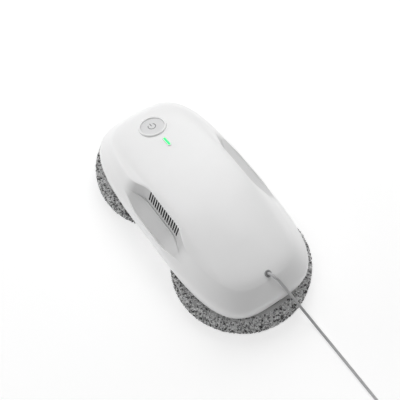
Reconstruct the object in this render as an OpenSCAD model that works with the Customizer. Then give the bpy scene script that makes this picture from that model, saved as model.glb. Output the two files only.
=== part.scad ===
/* [Body] */
// Distance from each disc axis to the end of the housing
end_reach = 61; // [59:1:70]
// Distance from each gearbox to the side of the housing
side_reach = 13.8; // [12:0.2:20]
// Space between the fan motor and the inside of the deck
deck_gap = 2.4; // [1:0.2:10]
// Rise of the lower edge of the housing above the underside of its floor
skirt_rise = 5.5; // [4:0.5:7]
// Fall of the deck towards both ends
deck_drop = 18; // [12:0.5:20]
// How square the plan outline is, 2 is an ellipse
squareness = 3.6; // [3.2:0.1:4.5]
// Wall of the mouldings
wall = 2.4; // [1.8:0.1:3]

/* [Grip pockets] */
// Half the length of each side pocket
pocket_half_l = 61; // [54:1:66]
// Half the length over which the pocket keeps its full depth
pocket_flat = 14; // [8:1:24]
// Number of air slots in each pocket wall
slot_count = 15; // [9:1:17]
// Distance from slot to slot
slot_pitch = 3.6; // [3:0.1:4]
// Width of one air slot
slot_w = 1.9; // [1.2:0.1:2.2]

/* [Cleaning discs] */
// Radius of the cleaning pads
pad_r = 73.5; // [70:0.5:78]
// Gap between the two cleaning pads
pad_gap = 3; // [1:0.5:6]
// Thickness of the cleaning pads
pad_t = 15; // [12:0.5:16]
// Distance from the hub to the edge of the suction opening in the pads
pad_bore_reach = 4; // [3:0.5:7]
// Rounding of the pad's outer edges
pad_edge = 5; // [2:0.5:5.5]
// Thickness of the pad's cuff round the disc
cuff_t = 3.2; // [2.6:0.1:4]
// Thickness of the disc plate
disc_t = 2.6; // [2:0.1:3]
// Number of ribs on each disc
rib_count = 12; // [6:1:16]
// Outside radius of the hollow hub
hub_r = 29; // [28:0.5:30]

/* [Drive] */
// Distance from the outside of the hub to the pitch circle of the ring gear
pitch_reach = 5; // [4.5:0.1:6]
// Teeth of the ring gear on each disc
ring_teeth = 68; // [68:1:72]
// Teeth of the motor pinion
pinion_teeth = 16; // [14:1:18]
// Width of the teeth
gear_w = 5.6; // [4:0.2:6]
// Radius of the gearboxes
gearbox_r = 14; // [12:0.5:14.5]

/* [Suction unit] */
// Radius of the fan housing
fan_r = 33; // [29:0.5:34]
// Height of the fan housing
fan_h = 20; // [18:0.5:21]
// Number of fan blades
blade_count = 12; // [7:1:16]
// Width of the air duct that joins the two hubs
duct_w = 24; // [18:0.5:26]

/* [Power button] */
// Distance of the button from the front end of the housing
button_reach = 45.7; // [43:0.1:48]
// Radius of the button cap
cap_r = 12.75; // [11:0.05:13]
// Travel of the button
button_travel = 1.2; // [0.6:0.1:1.4]

/* [Status light] */
// Distance from the button to the status light
light_gap = 28.3; // [26:0.1:30]
// Length of the status light
light_l = 11.5; // [9:0.5:13]
// Width of the status light
light_w = 2.2; // [1.6:0.1:2.6]

/* [Backup battery] */
// Radius of one cell
cell_r = 7; // [6:0.1:7.2]
// Length of one cell
cell_l = 50; // [44:1:50]
// Number of cells
cell_count = 3; // [1:1:3]

/* [Power lead] */
// Diameter of the lead
cord_d = 3.2; // [3:0.1:3.3]
// Distance of the lead's exit from the rear end of the housing
exit_reach = 19.4; // [18:0.1:21]

/* [Hidden] */
$fn = 72;

overrun = 1;
fit = 0.4;
play = 0.3;
running = 0.06;
press = 0.02;

// Heights of the stack between the glass and the deck
hook_t = 1.2;
lip_t = 2.8;
rim_h = 1.1;
disc_gap = 1;
floor_t = 2.5;
flange_t = 1.5;
collar_gap = 0.7;
hub_over_gear = 1.6;
motor_lift = 2.1;
duct_lift = 2;
duct_h = 12;
board_lift = 4;
plate_low = pad_t + hook_t;
plate_top = plate_low + disc_t;
rim_top = plate_top + rim_h;
pad_high = rim_top + play + lip_t;
floor_z = pad_high + disc_gap;
floor_top = floor_z + floor_t;
collar_low = plate_top + collar_gap;
collar_top = floor_top + collar_gap;
gear_z = collar_top + flange_t + play;
gear_top = gear_z + gear_w;
hub_top = gear_top + hub_over_gear;
motor_z = gear_top + motor_lift;
duct_low = hub_top + duct_lift;
duct_top = duct_low + duct_h;
fan_top = duct_top + fan_h;
board_z = duct_top + board_lift;

// Discs and what runs with them
disc_spacing = 2 * pad_r + pad_gap;
disc_x = disc_spacing / 2;
pad_bore_r = hub_r + pad_bore_reach;
disc_r = pad_r - cuff_t - play;
lip_w = 12;
lip_r = disc_r - lip_w;
hub_wall = 3;
hub_bore_r = hub_r - hub_wall;
rim_t = 2.5;
rib_t = 2;
rib_h = 1;
rib_gap = 2;
collar_wall = 3;
bush_wall = 4;
collar_r = hub_r + bush_wall;
collar_outer_r = collar_r + collar_wall;
hook_inset = 1;
seal_foot_z = 3;
seal_reach = 2;
seal_r = hub_r + seal_reach;
seal_wall = 2.5;
seal_waist = 1.5;
seal_band = 2.4;

// Gear train, on a line that leans from the long axis of the housing
gear_module = 2 * (hub_r + pitch_reach) / ring_teeth;
train_angle = 60;
pressure_angle = 20;
flank_steps = 4;
tooth_thinning = 0.08;
centre_play = 0.15;
dedendum_share = 1.25;
drive_distance = gear_module * (ring_teeth + pinion_teeth) / 2 + centre_play;
shaft_r = 2;
shaft_offset = 5;
pivot_h = 2;
pivot_wall = 2;
can_r = 9.5;
gearbox_h = 8;
can_h = 6;
ear_over = 4.5;
ear_reach = gearbox_r + ear_over;
ear_r = 3.5;
ear_t = 2;
ear_hole_r = 1.6;

// Air duct and fan
duct_wall = 2;
cap_play = 0.5;
cap_inner_r = hub_r + cap_play;
cap_outer_r = cap_inner_r + duct_wall;
plenum_r = 20;
inlet_r = 13;
saddle_gap = 9;
saddle_t = 4;
saddle_x = disc_x - collar_outer_r - saddle_gap - saddle_t / 2;
cover_t = 2;
cover_play = 1;
fan_motor_r = 11;
fan_motor_h = 7;
fan_shaft_r = 1.5;
impeller_gap = 4;
impeller_r = fan_r - duct_wall - impeller_gap;
impeller_hub_r = 6;
impeller_eye_r = 12;
impeller_lift = 3;
backplate_t = 1.2;
backplate_gap = 2.8;
blade_t = 1.4;
blade_inset = 0.5;
blade_lean = 38;
blade_steps = 6;
outlet_w = 38;
outlet_sill = 2;

// Housing, sized to what it covers
body_l = disc_spacing + 2 * end_reach;
half_l = body_l / 2;
half_w = gearbox_r + side_reach + (drive_distance + shaft_offset) * sin(train_angle);
button_x = half_l - button_reach;
light_x = button_x - light_gap;
exit_x = half_l - exit_reach;
body_top = fan_top + cover_t + fan_motor_h + deck_gap + wall;
skirt_z = floor_z + skirt_rise;
shell_h = body_top - skirt_z;
run = half_l - half_w;
side_steps = 24;
end_steps = 16;
ring_points = 2 * (side_steps + end_steps);

// Profile of the plain housing from the lower edge to the middle of the deck:
// inset as a share of the half width, height as a share of the housing height
plain_shares = [[0.012, 0], [0, 0.083], [0.003, 0.193], [0.023, 0.303], [0.085, 0.45],
    [0.096, 0.472], [0.109, 0.497], [0.125, 0.53], [0.149, 0.582], [0.175, 0.644],
    [0.207, 0.71], [0.257, 0.776], [0.335, 0.839], [0.466, 0.894], [0.656, 0.941],
    [0.831, 0.971], [0.93, 0.982]];
// The same stations through a grip pocket: lip, sloping floor, wall and deck edge
pocket_shares = [[0.012, 0], [0, 0.083], [0.003, 0.193], [0.013, 0.303], [0.026, 0.354],
    [0.066, 0.35], [0.153, 0.45], [0.255, 0.593], [0.268, 0.651], [0.306, 0.853],
    [0.315, 0.897], [0.344, 0.934], [0.408, 0.96], [0.525, 0.978], [0.685, 0.989],
    [0.831, 0.996], [0.93, 1]];
levels = len(plain_shares);
crease_level = 7;
edge_level = 9;
innermost_share = 0.98;
deck_curve_shares = [for (k = [3:levels - 1]) plain_shares[k]];

// Backup battery in its cradle on the duct
cell_gap = 1;
cell_pitch = 2 * cell_r + cell_gap;
cell_play = 0.3;
cradle_t = 1.5;
cradle_h = 5;
cradle_l = 36;
cell_z = duct_top + cradle_t + cell_play + cell_r;
battery_edge = 1.5;
battery_gap = 9;
battery_l = cell_count * cell_pitch + 2 * battery_edge;
battery_x = fan_r + battery_gap + battery_l / 2;

// Main board on the posts of the air duct
board_gap = 2;
board_end_gap = 22;
board_near = -fan_r - board_gap;
board_l = half_l + board_near - board_end_gap;
board_w = 42;
board_t = 1.6;
post_r = 2.5;
post_hole_r = 1.1;
post_x = cap_outer_r / 2;
post_inset = 2;
chip_w = 14;
chip_h = 1.6;
chip_reach = 18;
capacitor_r = 3;
capacitor_h = 6;
capacitor_pitch = 9;

// Screws that hold the housing together
screw_side_x = 28;
screw_side_y = 38;
screw_end_reach = 12;
screw_end_x = half_l - screw_end_reach;
boss_r = 4;
cup_r = 5;
cup_h = 4.5;
screw_r = 1.45;
screw_head_r = 2.8;
screw_head_h = 1.8;
screw_l = 16;
cup_top = floor_z + cup_h;

// Lower moulding
base_wall = 1.8;
base_inset = wall + plain_shares[0][0] * half_w + fit;
tongue_h = 5;

// Button stack, measured along the normal of the deck
cap_play_r = 0.25;
ring_bore_r = cap_r + cap_play_r;
ring_wall = 2.5;
ring_r = ring_bore_r + ring_wall;
ring_low = -5;
ring_high = 1.5;
ring_flange = 1.5;
ring_flange_t = 1;
ring_edge = 0.7;
shoulder_z = -2.6;
key_flange_w = 1.3;
key_flange_r = cap_r + key_flange_w;
key_flange_t = 1.2;
key_crown = 0.9;
key_dish = 0.6;
key_edge = 0.5;
stem_r = 2.2;
carrier_wall = 1;
carrier_low = -12;
carrier_floor = 1.4;
button_board_t = 1.2;
button_board_z = carrier_low + carrier_floor;
switch_w = 6;
switch_h = 3.4;
switch_z = button_board_z + button_board_t;
plunger_r = 1.7;
plunger_play = 0.2;
plunger_low = switch_z + 2 * fit + button_travel;
stem_low = switch_z + switch_h + plunger_play + button_travel;

// Status light, along the normal of the deck
bezel_wall = 0.95;
bezel_play = 0.1;
bezel_high = 0.5;
bezel_low = -6.8;
bezel_flange = 1.7;
bezel_flange_t = 1.4;
bezel_flange_z = -4.6;
lens_high = 0.1;
status_board_t = 1.2;
status_board_l = 20;
status_board_w = 9;

// Exit of the power lead, along the normal of the deck
sleeve_r = 5.6;
sleeve_low = -5;
grommet_bore_r = 2.3;
grommet_wall = 0.65;
grommet_r = grommet_bore_r + grommet_wall;
grommet_play = 0.05;
grommet_low = -3.5;
grommet_collar_r = 3.8;
grommet_collar_z = 0.15;
grommet_high = 0.9;
clamp_low = -12;
clamp_groove = 1.2;
exit_tilt_run = 4;

// Route of the free stretch of the lead: out of the deck, over the end of the
// housing, down to the glass and straight on to its coil
route = [[114.04, 0, 60.24], [115.32, 0, 62.38], [116.6, 0, 64.53], [117.8, 0.1, 66.2],
    [119.7, 0.5, 67.5], [121.9, 1.1, 68.1], [124.2, 1.9, 67.9], [126.3, 2.9, 66.9],
    [127.9, 4, 65.3], [129.2, 5, 62.8], [131, 6.3, 59], [133, 7.9, 54.4], [135, 9.6, 49.6],
    [136.9, 11.3, 44.6], [138.7, 13.2, 39.2], [140.8, 15.2, 33.4], [144.4, 17.4, 27.3],
    [149.2, 19.5, 21.2], [154.2, 21.6, 15.2], [159.8, 23.5, 9.8], [166, 25, 5.5],
    [173.4, 25.9, 2.8], [182, 26.3, 1.8], [192, 26.4, 1.7], [208, 26.4, 1.7],
    [224, 26.4, 1.7], [240, 26.4, 1.7], [256, 26.4, 1.7], [268, 26.4, 1.8],
    [278, 26.4, 2.05], [284, 26.4, 2.15], [288.8, 26.4, 2.15]];
cord_r = cord_d / 2;
cord_sides = 8;

// Coil that holds the rest of the lead: two layers, spiralling in and out again
coil_centre = [292, 1.2];
coil_r = 25.2;
coil_z = 2.15;
coil_pitch = 3.65;
coil_loops = 6.375;
loop_rings = 24;
coil_sides = 6;
tie_t = 0.4;
tie_w = 6;
tie_play = 0.15;

// In-line connector on the far end of the lead
boot_r = 2.4;
boot_top_r = 3.6;
boot_l = 12;
body_r = 5.6;
body_shoulder = 1.4;
connector_l = 32;
barrel_r = 2.75;
barrel_l = 9.5;
barrel_seat = 3;
barrel_step = 0.3;
barrel_seat_r = barrel_r - barrel_step;
barrel_bore_r = 1.05;

function smooth(t) = let (c = min(1, max(0, t))) c * c * c * (c * (6 * c - 15) + 10);
function mix(a, b, t) = a + (b - a) * t;
function unit(v) = v / norm(v);
function turned(v, a) = [v.x * cos(a) - v.y * sin(a), v.x * sin(a) + v.y * cos(a)];

// Share of the full pocket depth at a place along the housing
function pocket_weight(x) = smooth((pocket_half_l - abs(x)) / (pocket_half_l - pocket_flat));

// Station i of a ring: its place along the housing and its share across
function station(i, r) =
    i < side_steps ? [run * (1 - 2 * i / side_steps), 1]
    : i < side_steps + end_steps
        ? let (f = 90 + 180 * (i - side_steps) / end_steps) [r * cos(f) - run, sin(f)]
    : i < 2 * side_steps + end_steps
        ? [run * (2 * (i - side_steps - end_steps) / side_steps - 1), -1]
    : let (f = 180 * (i - 2 * side_steps - end_steps) / end_steps - 90)
        [run + r * cos(f), sin(f)];

// Point of the rounded plan outline at station i, drawn in by an inset
function plan_point(i, inset) =
    let (r = half_w - inset, s = station(i, r),
         k = pow(pow(abs(s.x) / (half_l - inset), squareness) + pow(abs(s.y), squareness),
             -1 / squareness))
    [s.x * k, r * s.y * k];

// Point of the moulded skin at station i of level k; the inner skin lies one wall further in
function skin_point(i, k, t) =
    let (flat = plan_point(i, plain_shares[k][0] * half_w + t),
         w = pocket_weight(flat.x),
         inset = mix(plain_shares[k][0], pocket_shares[k][0], w) * half_w + t,
         share = mix(plain_shares[k][1], pocket_shares[k][1], w),
         fall = deck_drop * pow(plain_shares[k][1] * flat.x / half_l, 2),
         down = t * smooth((k - 2) / 2))
    [flat.x, plan_point(i, min(inset, half_w * innermost_share)).y,
        skirt_z + share * shell_h - fall - down];

// Height and lean of the deck on the long middle line
function deck_z(x) =
    let (inset = min(plain_shares[levels - 1][0], (half_l - abs(x)) / half_w),
         plain = lookup(inset, deck_curve_shares),
         share = inset < plain_shares[levels - 1][0] ? plain
             : mix(plain, pocket_shares[levels - 1][1], pocket_weight(x)))
    skirt_z + share * shell_h - deck_drop * pow(plain * x / half_l, 2);
function deck_tilt(x, reach) = atan((deck_z(x - reach) - deck_z(x + reach)) / (2 * reach));

// Closed solid under the skin; foot is how far its straight foot reaches below the lower edge
module skin_solid(t, foot) {
    first = foot > 0 ? 0 : 1;
    tip = 2 * side_steps + end_steps + end_steps / 2;
    half = ring_points / 2;
    function at(k, i) = k * ring_points + i % ring_points;
    function mirrored(i) = (2 * side_steps + end_steps - i + 2 * ring_points) % ring_points;
    pts = concat(
        [for (i = [0:ring_points - 1]) let (p = skin_point(i, 0, t)) [p.x, p.y, skirt_z - foot]],
        [for (k = [0:levels - 1], i = [0:ring_points - 1]) skin_point(i, k, t)]);
    sides = [for (k = [first:levels - 1], i = [0:ring_points - 1], h = [0, 1])
        h == 0 ? [at(k, i), at(k + 1, i), at(k + 1, i + 1)]
        : [at(k, i), at(k + 1, i + 1), at(k, i + 1)]];
    crown = [for (q = [0:half - 1], h = [0, 1])
        let (i = tip + q, j = mirrored(i % ring_points), n = mirrored((i + 1) % ring_points))
        if (!(h == 0 && q == 0) && !(h == 1 && q == half - 1))
        h == 0 ? [at(levels, i), at(levels, j), at(levels, i + 1)]
        : [at(levels, i + 1), at(levels, j), at(levels, n)]];
    sole = [for (q = [0:half - 1], h = [0, 1])
        let (i = tip + q, j = mirrored(i % ring_points), n = mirrored((i + 1) % ring_points))
        if (!(h == 0 && q == 0) && !(h == 1 && q == half - 1))
        h == 0 ? [at(first, i), at(first, i + 1), at(first, j)]
        : [at(first, i + 1), at(first, n), at(first, j)]];
    polyhedron(pts, concat(sides, crown, sole));
}

// Round tube between two radii and two heights
module ring(outer, inner, low, high) {
    rotate_extrude()
        translate([inner, low]) square([outer - inner, high - low]);
}

// Round bar between two heights
module bar(r, low, high) {
    translate([0, 0, low]) cylinder(r = r, h = high - low);
}

// Flat bar with round ends, centred
module stadium(l, w) {
    square([l - w, w], center = true);
    for (side = [-1, 1])
        translate([side * (l - w) / 2, 0]) circle(w / 2);
}

// Places of the mechanism: the rear end, and the same turned round for the front end
module at_rear() {
    children();
}
module at_front() {
    rotate(180) children();
}
module on_disc() {
    translate([disc_x, 0, 0]) children();
}
module on_train(distance) {
    on_disc() rotate(train_angle) translate([distance, 0, 0]) children();
}
module on_deck(x, reach) {
    translate([x, 0, deck_z(x)]) rotate([0, deck_tilt(x, reach), 0]) children();
}
module on_button() {
    on_deck(-button_x, ring_r) children();
}
module on_light() {
    on_deck(-light_x, light_l / 2) children();
}
module on_exit() {
    on_deck(exit_x, exit_tilt_run) children();
}
module at_screws() {
    for (x = [-screw_side_x, screw_side_x], y = [-screw_side_y, screw_side_y])
        translate([x, y, 0]) children();
    for (x = [-screw_end_x, screw_end_x])
        translate([x, 0, 0]) children();
}
module at_posts() {
    for (x = [-post_x, post_x], side = [-1, 1])
        translate([x - disc_x, side * (board_w / 2 - post_inset), 0]) children();
}

// Upper moulding
module vent_slots(side) {
    low = skirt_z + pocket_shares[crease_level][1] * shell_h + slot_w / 2;
    high = skirt_z + pocket_shares[edge_level][1] * shell_h - slot_w / 2;
    for (i = [0:slot_count - 1])
        translate([(i - (slot_count - 1) / 2) * slot_pitch, side * half_w / 2, low + slot_w / 2])
        rotate([90, 0, side > 0 ? 180 : 0])
        linear_extrude(half_w / 3) {
            translate([-slot_w / 2, 0]) square([slot_w, high - low]);
            circle(slot_w / 2);
            translate([0, high - low]) circle(slot_w / 2);
        }
}
module shell_bosses() {
    at_screws() bar(boss_r, cup_top, body_top);
    on_exit() bar(sleeve_r, sleeve_low, overrun);
}
module top_shell() {
    color("white") difference() {
        skin_solid(0, 0);
        difference() {
            skin_solid(wall, overrun);
            shell_bosses();
        }
        for (side = [-1, 1]) vent_slots(side);
        on_button() bar(ring_r + bezel_play, carrier_low, -carrier_low);
        on_exit() bar(grommet_r + grommet_play, clamp_low, -clamp_low);
        on_light() translate([0, 0, bezel_low]) linear_extrude(-2 * bezel_low)
            stadium(light_l + 2 * (bezel_wall + 2 * bezel_play),
                light_w + 2 * (bezel_wall + 2 * bezel_play));
        at_screws() bar(screw_r + play / 2, floor_z, floor_z + screw_l + overrun);
    }
}

// Lower moulding
module outline(inset) {
    polygon([for (i = [0:ring_points - 1]) plan_point(i, inset)]);
}
module base_end() {
    on_disc() bar(collar_outer_r, collar_low, collar_top);
    on_train(drive_distance) bar(shaft_r + pivot_wall, floor_z, floor_top + pivot_h);
    on_train(drive_distance + shaft_offset)
        for (side = [-1, 1])
            translate([0, side * ear_reach, 0]) bar(ear_r, floor_z, motor_z);
}
module base_end_cuts() {
    on_disc() bar(collar_r, collar_low - overrun, collar_top + overrun);
    on_train(drive_distance) bar(shaft_r + running, floor_top, floor_top + pivot_h + overrun);
    on_train(drive_distance + shaft_offset)
        for (side = [-1, 1])
            translate([0, side * ear_reach, 0]) bar(post_hole_r, floor_top, motor_z + overrun);
}
module base_shell() {
    color("gainsboro") difference() {
        union() {
            translate([0, 0, floor_z]) linear_extrude(floor_t) outline(base_inset);
            translate([0, 0, floor_z]) linear_extrude(skirt_z + tongue_h - floor_z) difference() {
                outline(base_inset);
                outline(base_inset + base_wall);
            }
            at_rear() base_end();
            at_front() base_end();
            at_screws() bar(cup_r, floor_z, cup_top);
            for (side = [-1, 1])
                translate([side * saddle_x - saddle_t / 2, -duct_w / 2, floor_z])
                cube([saddle_t, duct_w, duct_low - floor_z]);
        }
        at_rear() base_end_cuts();
        at_front() base_end_cuts();
        at_screws() bar(screw_head_r + play, floor_z - overrun, floor_z + screw_head_h + play);
        at_screws() bar(screw_r + play, floor_z, cup_top + overrun);
    }
}

// Turning disc with its ribs, rim and hollow hub
module disc() {
    on_disc() {
        ring(disc_r, hub_bore_r, plate_low, plate_top);
        ring(disc_r, disc_r - rim_t, plate_low, rim_top);
        ring(hub_r, hub_bore_r, plate_low, hub_top);
        for (i = [0:rib_count - 1])
            rotate(360 * i / rib_count)
            translate([collar_outer_r + rib_gap, -rib_t / 2, plate_low])
            cube([disc_r - rim_t / 2 - collar_outer_r - rib_gap, rib_t, disc_t + rib_h]);
    }
}
module front_disc() {
    color("darkgray") at_front() disc();
}
module rear_disc() {
    color("darkgray") at_rear() disc();
}

// Hook layer that holds the pad
module hook() {
    on_disc() ring(disc_r - hook_inset, pad_bore_r + hook_inset, pad_t, plate_low);
}
module front_hook() {
    color("dimgray") at_front() hook();
}
module rear_hook() {
    color("dimgray") at_rear() hook();
}

// Cleaning pad: a thick sole, and a cuff that wraps over the rim of the disc
module pad() {
    on_disc() rotate_extrude() {
        translate([pad_bore_r, 0]) square([pad_r - pad_edge - pad_bore_r, pad_t]);
        translate([pad_r - pad_edge, pad_edge]) square([pad_edge, pad_t - pad_edge]);
        translate([pad_r - pad_edge, pad_edge]) circle(pad_edge);
        translate([disc_r + play, pad_edge]) square([cuff_t, pad_high - lip_t - pad_edge]);
        translate([lip_r, pad_high - lip_t]) square([pad_r - lip_t - lip_r, lip_t]);
        intersection() {
            translate([pad_r - lip_t, pad_high - lip_t]) circle(lip_t);
            translate([pad_r - lip_t, pad_high - lip_t]) square(lip_t);
        }
    }
}
module front_pad() {
    color("gray") at_front() pad();
}
module rear_pad() {
    color("gray") at_rear() pad();
}

// Suction lip inside the pad, with a waist that lets it give
module seal() {
    inner = seal_r - seal_wall - seal_waist;
    on_disc() rotate_extrude() polygon([[seal_r, plate_low], [seal_r, plate_low - seal_band],
        [seal_r - seal_waist, plate_low - 2 * seal_band],
        [seal_r - seal_waist, seal_foot_z + 2 * seal_band], [seal_r, seal_foot_z],
        [seal_r - seal_waist, seal_foot_z], [inner, seal_foot_z + 2 * seal_band],
        [inner, plate_low]]);
}
module front_seal() {
    color("#404040") at_front() seal();
}
module rear_seal() {
    color("#404040") at_rear() seal();
}

// Flanged bush in the collar of the lower moulding
module bush() {
    on_disc() {
        ring(collar_r - press, hub_r + running, collar_low, collar_top);
        ring(collar_outer_r, hub_r + running, collar_top, collar_top + flange_t);
    }
}
module front_bush() {
    color("burlywood") at_front() bush();
}
module rear_bush() {
    color("burlywood") at_rear() bush();
}

// Involute gear outline: half width of a tooth, as an angle, at a radius
function involute(base, r) =
    let (t = sqrt(max(0, pow(r / base, 2) - 1))) t * 180 / PI - atan(t);
function tooth_half(teeth, r) =
    let (pitch = gear_module * teeth / 2, base = pitch * cos(pressure_angle))
    90 / teeth - tooth_thinning / pitch * 180 / PI + involute(base, pitch) - involute(base, r);
module gear_outline(teeth) {
    pitch = gear_module * teeth / 2;
    root = pitch - dedendum_share * gear_module;
    start = max(root, pitch * cos(pressure_angle));
    tip = pitch + gear_module;
    flank = [for (s = [0:flank_steps]) let (r = mix(start, tip, s / flank_steps))
        [r, tooth_half(teeth, r)]];
    side = start > root ? concat([[root, flank[0].y]], flank) : flank;
    last = len(side) - 1;
    polygon([for (k = [0:teeth - 1], s = [0:2 * last + 1])
        let (p = s <= last ? side[s] : side[2 * last + 1 - s],
             a = 360 * k / teeth + (s <= last ? -p.y : p.y))
        [p.x * cos(a), p.x * sin(a)]]);
}

// Ring gear pressed on the hub, one tooth on the line to the pinion
module ring_gear() {
    on_disc() rotate(train_angle) translate([0, 0, gear_z]) linear_extrude(gear_w) difference() {
        gear_outline(ring_teeth);
        circle(hub_r + press);
    }
}
module front_ring_gear() {
    color("ivory") at_front() ring_gear();
}
module rear_ring_gear() {
    color("ivory") at_rear() ring_gear();
}

// Pinion on its shaft, one gap on the line to the ring gear
module pinion() {
    on_train(drive_distance) {
        bar(shaft_r, floor_top + play, motor_z + gearbox_h / 2);
        translate([0, 0, gear_z]) rotate(180 + 180 / pinion_teeth)
            linear_extrude(gear_w) gear_outline(pinion_teeth);
    }
}
module front_pinion() {
    color("goldenrod") at_front() pinion();
}
module rear_pinion() {
    color("goldenrod") at_rear() pinion();
}

// Gear motor on its two ears; the output shaft is off its centre
module gearmotor() {
    difference() {
        on_train(drive_distance + shaft_offset) {
            bar(gearbox_r, motor_z, motor_z + gearbox_h);
            bar(can_r, motor_z + gearbox_h, motor_z + gearbox_h + can_h);
            difference() {
                translate([0, 0, motor_z]) linear_extrude(ear_t)
                    rotate(90) stadium(2 * (ear_reach + ear_r), 2 * ear_r);
                for (side = [-1, 1])
                    translate([0, side * ear_reach, 0])
                    bar(ear_hole_r, motor_z - overrun, motor_z + ear_t + overrun);
            }
        }
        on_train(drive_distance)
            bar(shaft_r + running, motor_z - overrun, motor_z + gearbox_h / 2 + play);
    }
}
module front_gearmotor() {
    color("silver") at_front() gearmotor();
}
module rear_gearmotor() {
    color("silver") at_rear() gearmotor();
}

// Duct that joins the two hubs to the fan
module duct_form(inset, cap_low, low, high) {
    for (side = [-1, 1])
        translate([side * disc_x, 0, 0]) bar(cap_outer_r - inset, cap_low, high);
    translate([-disc_x, inset - duct_w / 2, low])
        cube([disc_spacing, duct_w - 2 * inset, high - low]);
    bar(plenum_r - inset, low, high);
}
module air_manifold() {
    cap_low = gear_top + fit;
    color("#303030") difference() {
        union() {
            duct_form(0, cap_low, duct_low, duct_top);
            at_posts() bar(post_r, duct_top - duct_wall / 2, board_z);
        }
        at_posts() bar(post_hole_r, duct_top, board_z + overrun);
        duct_form(duct_wall, cap_low - overrun, duct_low + duct_wall, duct_top - duct_wall);
        bar(inlet_r, duct_top - 2 * duct_wall, duct_top + overrun);
    }
}

// Fan housing with an outlet towards each row of slots
module fan_housing() {
    color("#383838") difference() {
        bar(fan_r, duct_top, fan_top);
        bar(fan_r - duct_wall, duct_top + duct_wall, fan_top + overrun);
        bar(inlet_r, duct_top - overrun, duct_top + 2 * duct_wall);
        translate([-outlet_w / 2, -fan_r - overrun, duct_top + duct_wall + outlet_sill])
            cube([outlet_w, 2 * (fan_r + overrun), fan_h - duct_wall - 2 * outlet_sill]);
    }
}
module fan_cover() {
    color("#484848") ring(fan_r, fan_shaft_r + cover_play, fan_top, fan_top + cover_t);
}
module fan_motor() {
    low = fan_top + cover_t;
    color("silver") difference() {
        bar(fan_motor_r, low, low + fan_motor_h);
        bar(fan_shaft_r + running, low - overrun, low + fan_motor_h - duct_wall / 2);
    }
}
module fan_shaft() {
    low = duct_top + duct_wall + impeller_lift;
    color("lightgray") bar(fan_shaft_r, low, fan_top + cover_t + fan_motor_h - duct_wall);
}

// Curved blade as a strip that leans back on its way out
module blade() {
    function edge(s, side) =
        let (r = mix(impeller_eye_r, impeller_r - blade_inset, s / blade_steps),
             a = -blade_lean * s / blade_steps + side * blade_t / 2 / r * 180 / PI)
        [r * cos(a), r * sin(a)];
    polygon(concat([for (s = [0:blade_steps]) edge(s, -1)],
        [for (s = [blade_steps:-1:0]) edge(s, 1)]));
}
module fan_impeller() {
    low = duct_top + duct_wall + impeller_lift;
    plate_z = fan_top - backplate_gap - backplate_t;
    color("whitesmoke") {
        ring(impeller_r, fan_shaft_r + press, plate_z, plate_z + backplate_t);
        ring(impeller_hub_r, fan_shaft_r + press, low, plate_z + backplate_t);
        for (i = [0:blade_count - 1])
            rotate(360 * i / blade_count)
            translate([0, 0, low]) linear_extrude(plate_z + backplate_t / 2 - low) blade();
    }
}

// Backup battery
module at_cells() {
    for (i = [0:cell_count - 1])
        translate([battery_x + (i - (cell_count - 1) / 2) * cell_pitch, 0, cell_z])
        rotate([90, 0, 0]) children();
}
module battery_cradle() {
    color("#505050") difference() {
        translate([battery_x - battery_l / 2, -cradle_l / 2, duct_top])
            cube([battery_l, cradle_l, cradle_h]);
        at_cells() cylinder(r = cell_r + cell_play, h = cell_l, center = true);
    }
}
module battery_cells() {
    color("royalblue") at_cells() cylinder(r = cell_r, h = cell_l, center = true);
}

// Main board with its controller and a row of capacitors
module main_board() {
    top = board_z + board_t;
    color("seagreen") difference() {
        union() {
            translate([board_near - board_l, -board_w / 2, board_z])
                cube([board_l, board_w, board_t]);
            translate([board_near - chip_reach - chip_w / 2, -chip_w / 2, board_z])
                cube([chip_w, chip_w, board_t + chip_h]);
            for (i = [-1:1])
                translate([board_near - capacitor_pitch, i * capacitor_pitch, 0])
                bar(capacitor_r, board_z, top + capacitor_h);
        }
        at_posts() bar(post_hole_r, board_z - overrun, top + overrun);
    }
}

// Power button and its seat in the deck
module button_ring() {
    color("white") on_button() rotate_extrude() polygon([[ring_bore_r, ring_high - ring_edge],
        [ring_bore_r + ring_edge, ring_high], [ring_r - ring_edge, ring_high],
        [ring_r, ring_high - ring_edge], [ring_r, ring_low + ring_flange_t],
        [ring_r + ring_flange, ring_low + ring_flange_t], [ring_r + ring_flange, ring_low],
        [key_flange_r + play, ring_low], [key_flange_r + play, shoulder_z],
        [ring_bore_r, shoulder_z]]);
}
module power_button() {
    flange_high = shoulder_z - play;
    flange_low = flange_high - key_flange_t;
    color("lightgray") on_button() {
        rotate_extrude() polygon([[0, key_crown - key_dish],
            [cap_r / 2, key_crown - key_dish * 3 / 4], [cap_r - 2 * key_edge, key_crown],
            [cap_r, key_crown - key_edge], [cap_r, flange_high], [key_flange_r, flange_high],
            [key_flange_r, flange_low], [0, flange_low]]);
        bar(stem_r, stem_low, flange_low + key_flange_t / 2);
    }
}
module button_carrier() {
    color("gainsboro") on_button() difference() {
        bar(ring_r, carrier_low, ring_low);
        bar(ring_r - carrier_wall, button_board_z, ring_low + overrun);
    }
}
module button_board() {
    color("seagreen") on_button() bar(ring_r - carrier_wall - play, button_board_z, switch_z);
}
module tact_switch() {
    color("#202020") on_button() difference() {
        translate([-switch_w / 2, -switch_w / 2, switch_z]) cube([switch_w, switch_w, switch_h]);
        bar(plunger_r + plunger_play, switch_z + fit, switch_z + switch_h + overrun);
    }
}
module switch_plunger() {
    color("#303030") on_button() bar(plunger_r, plunger_low, stem_low);
}

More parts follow.
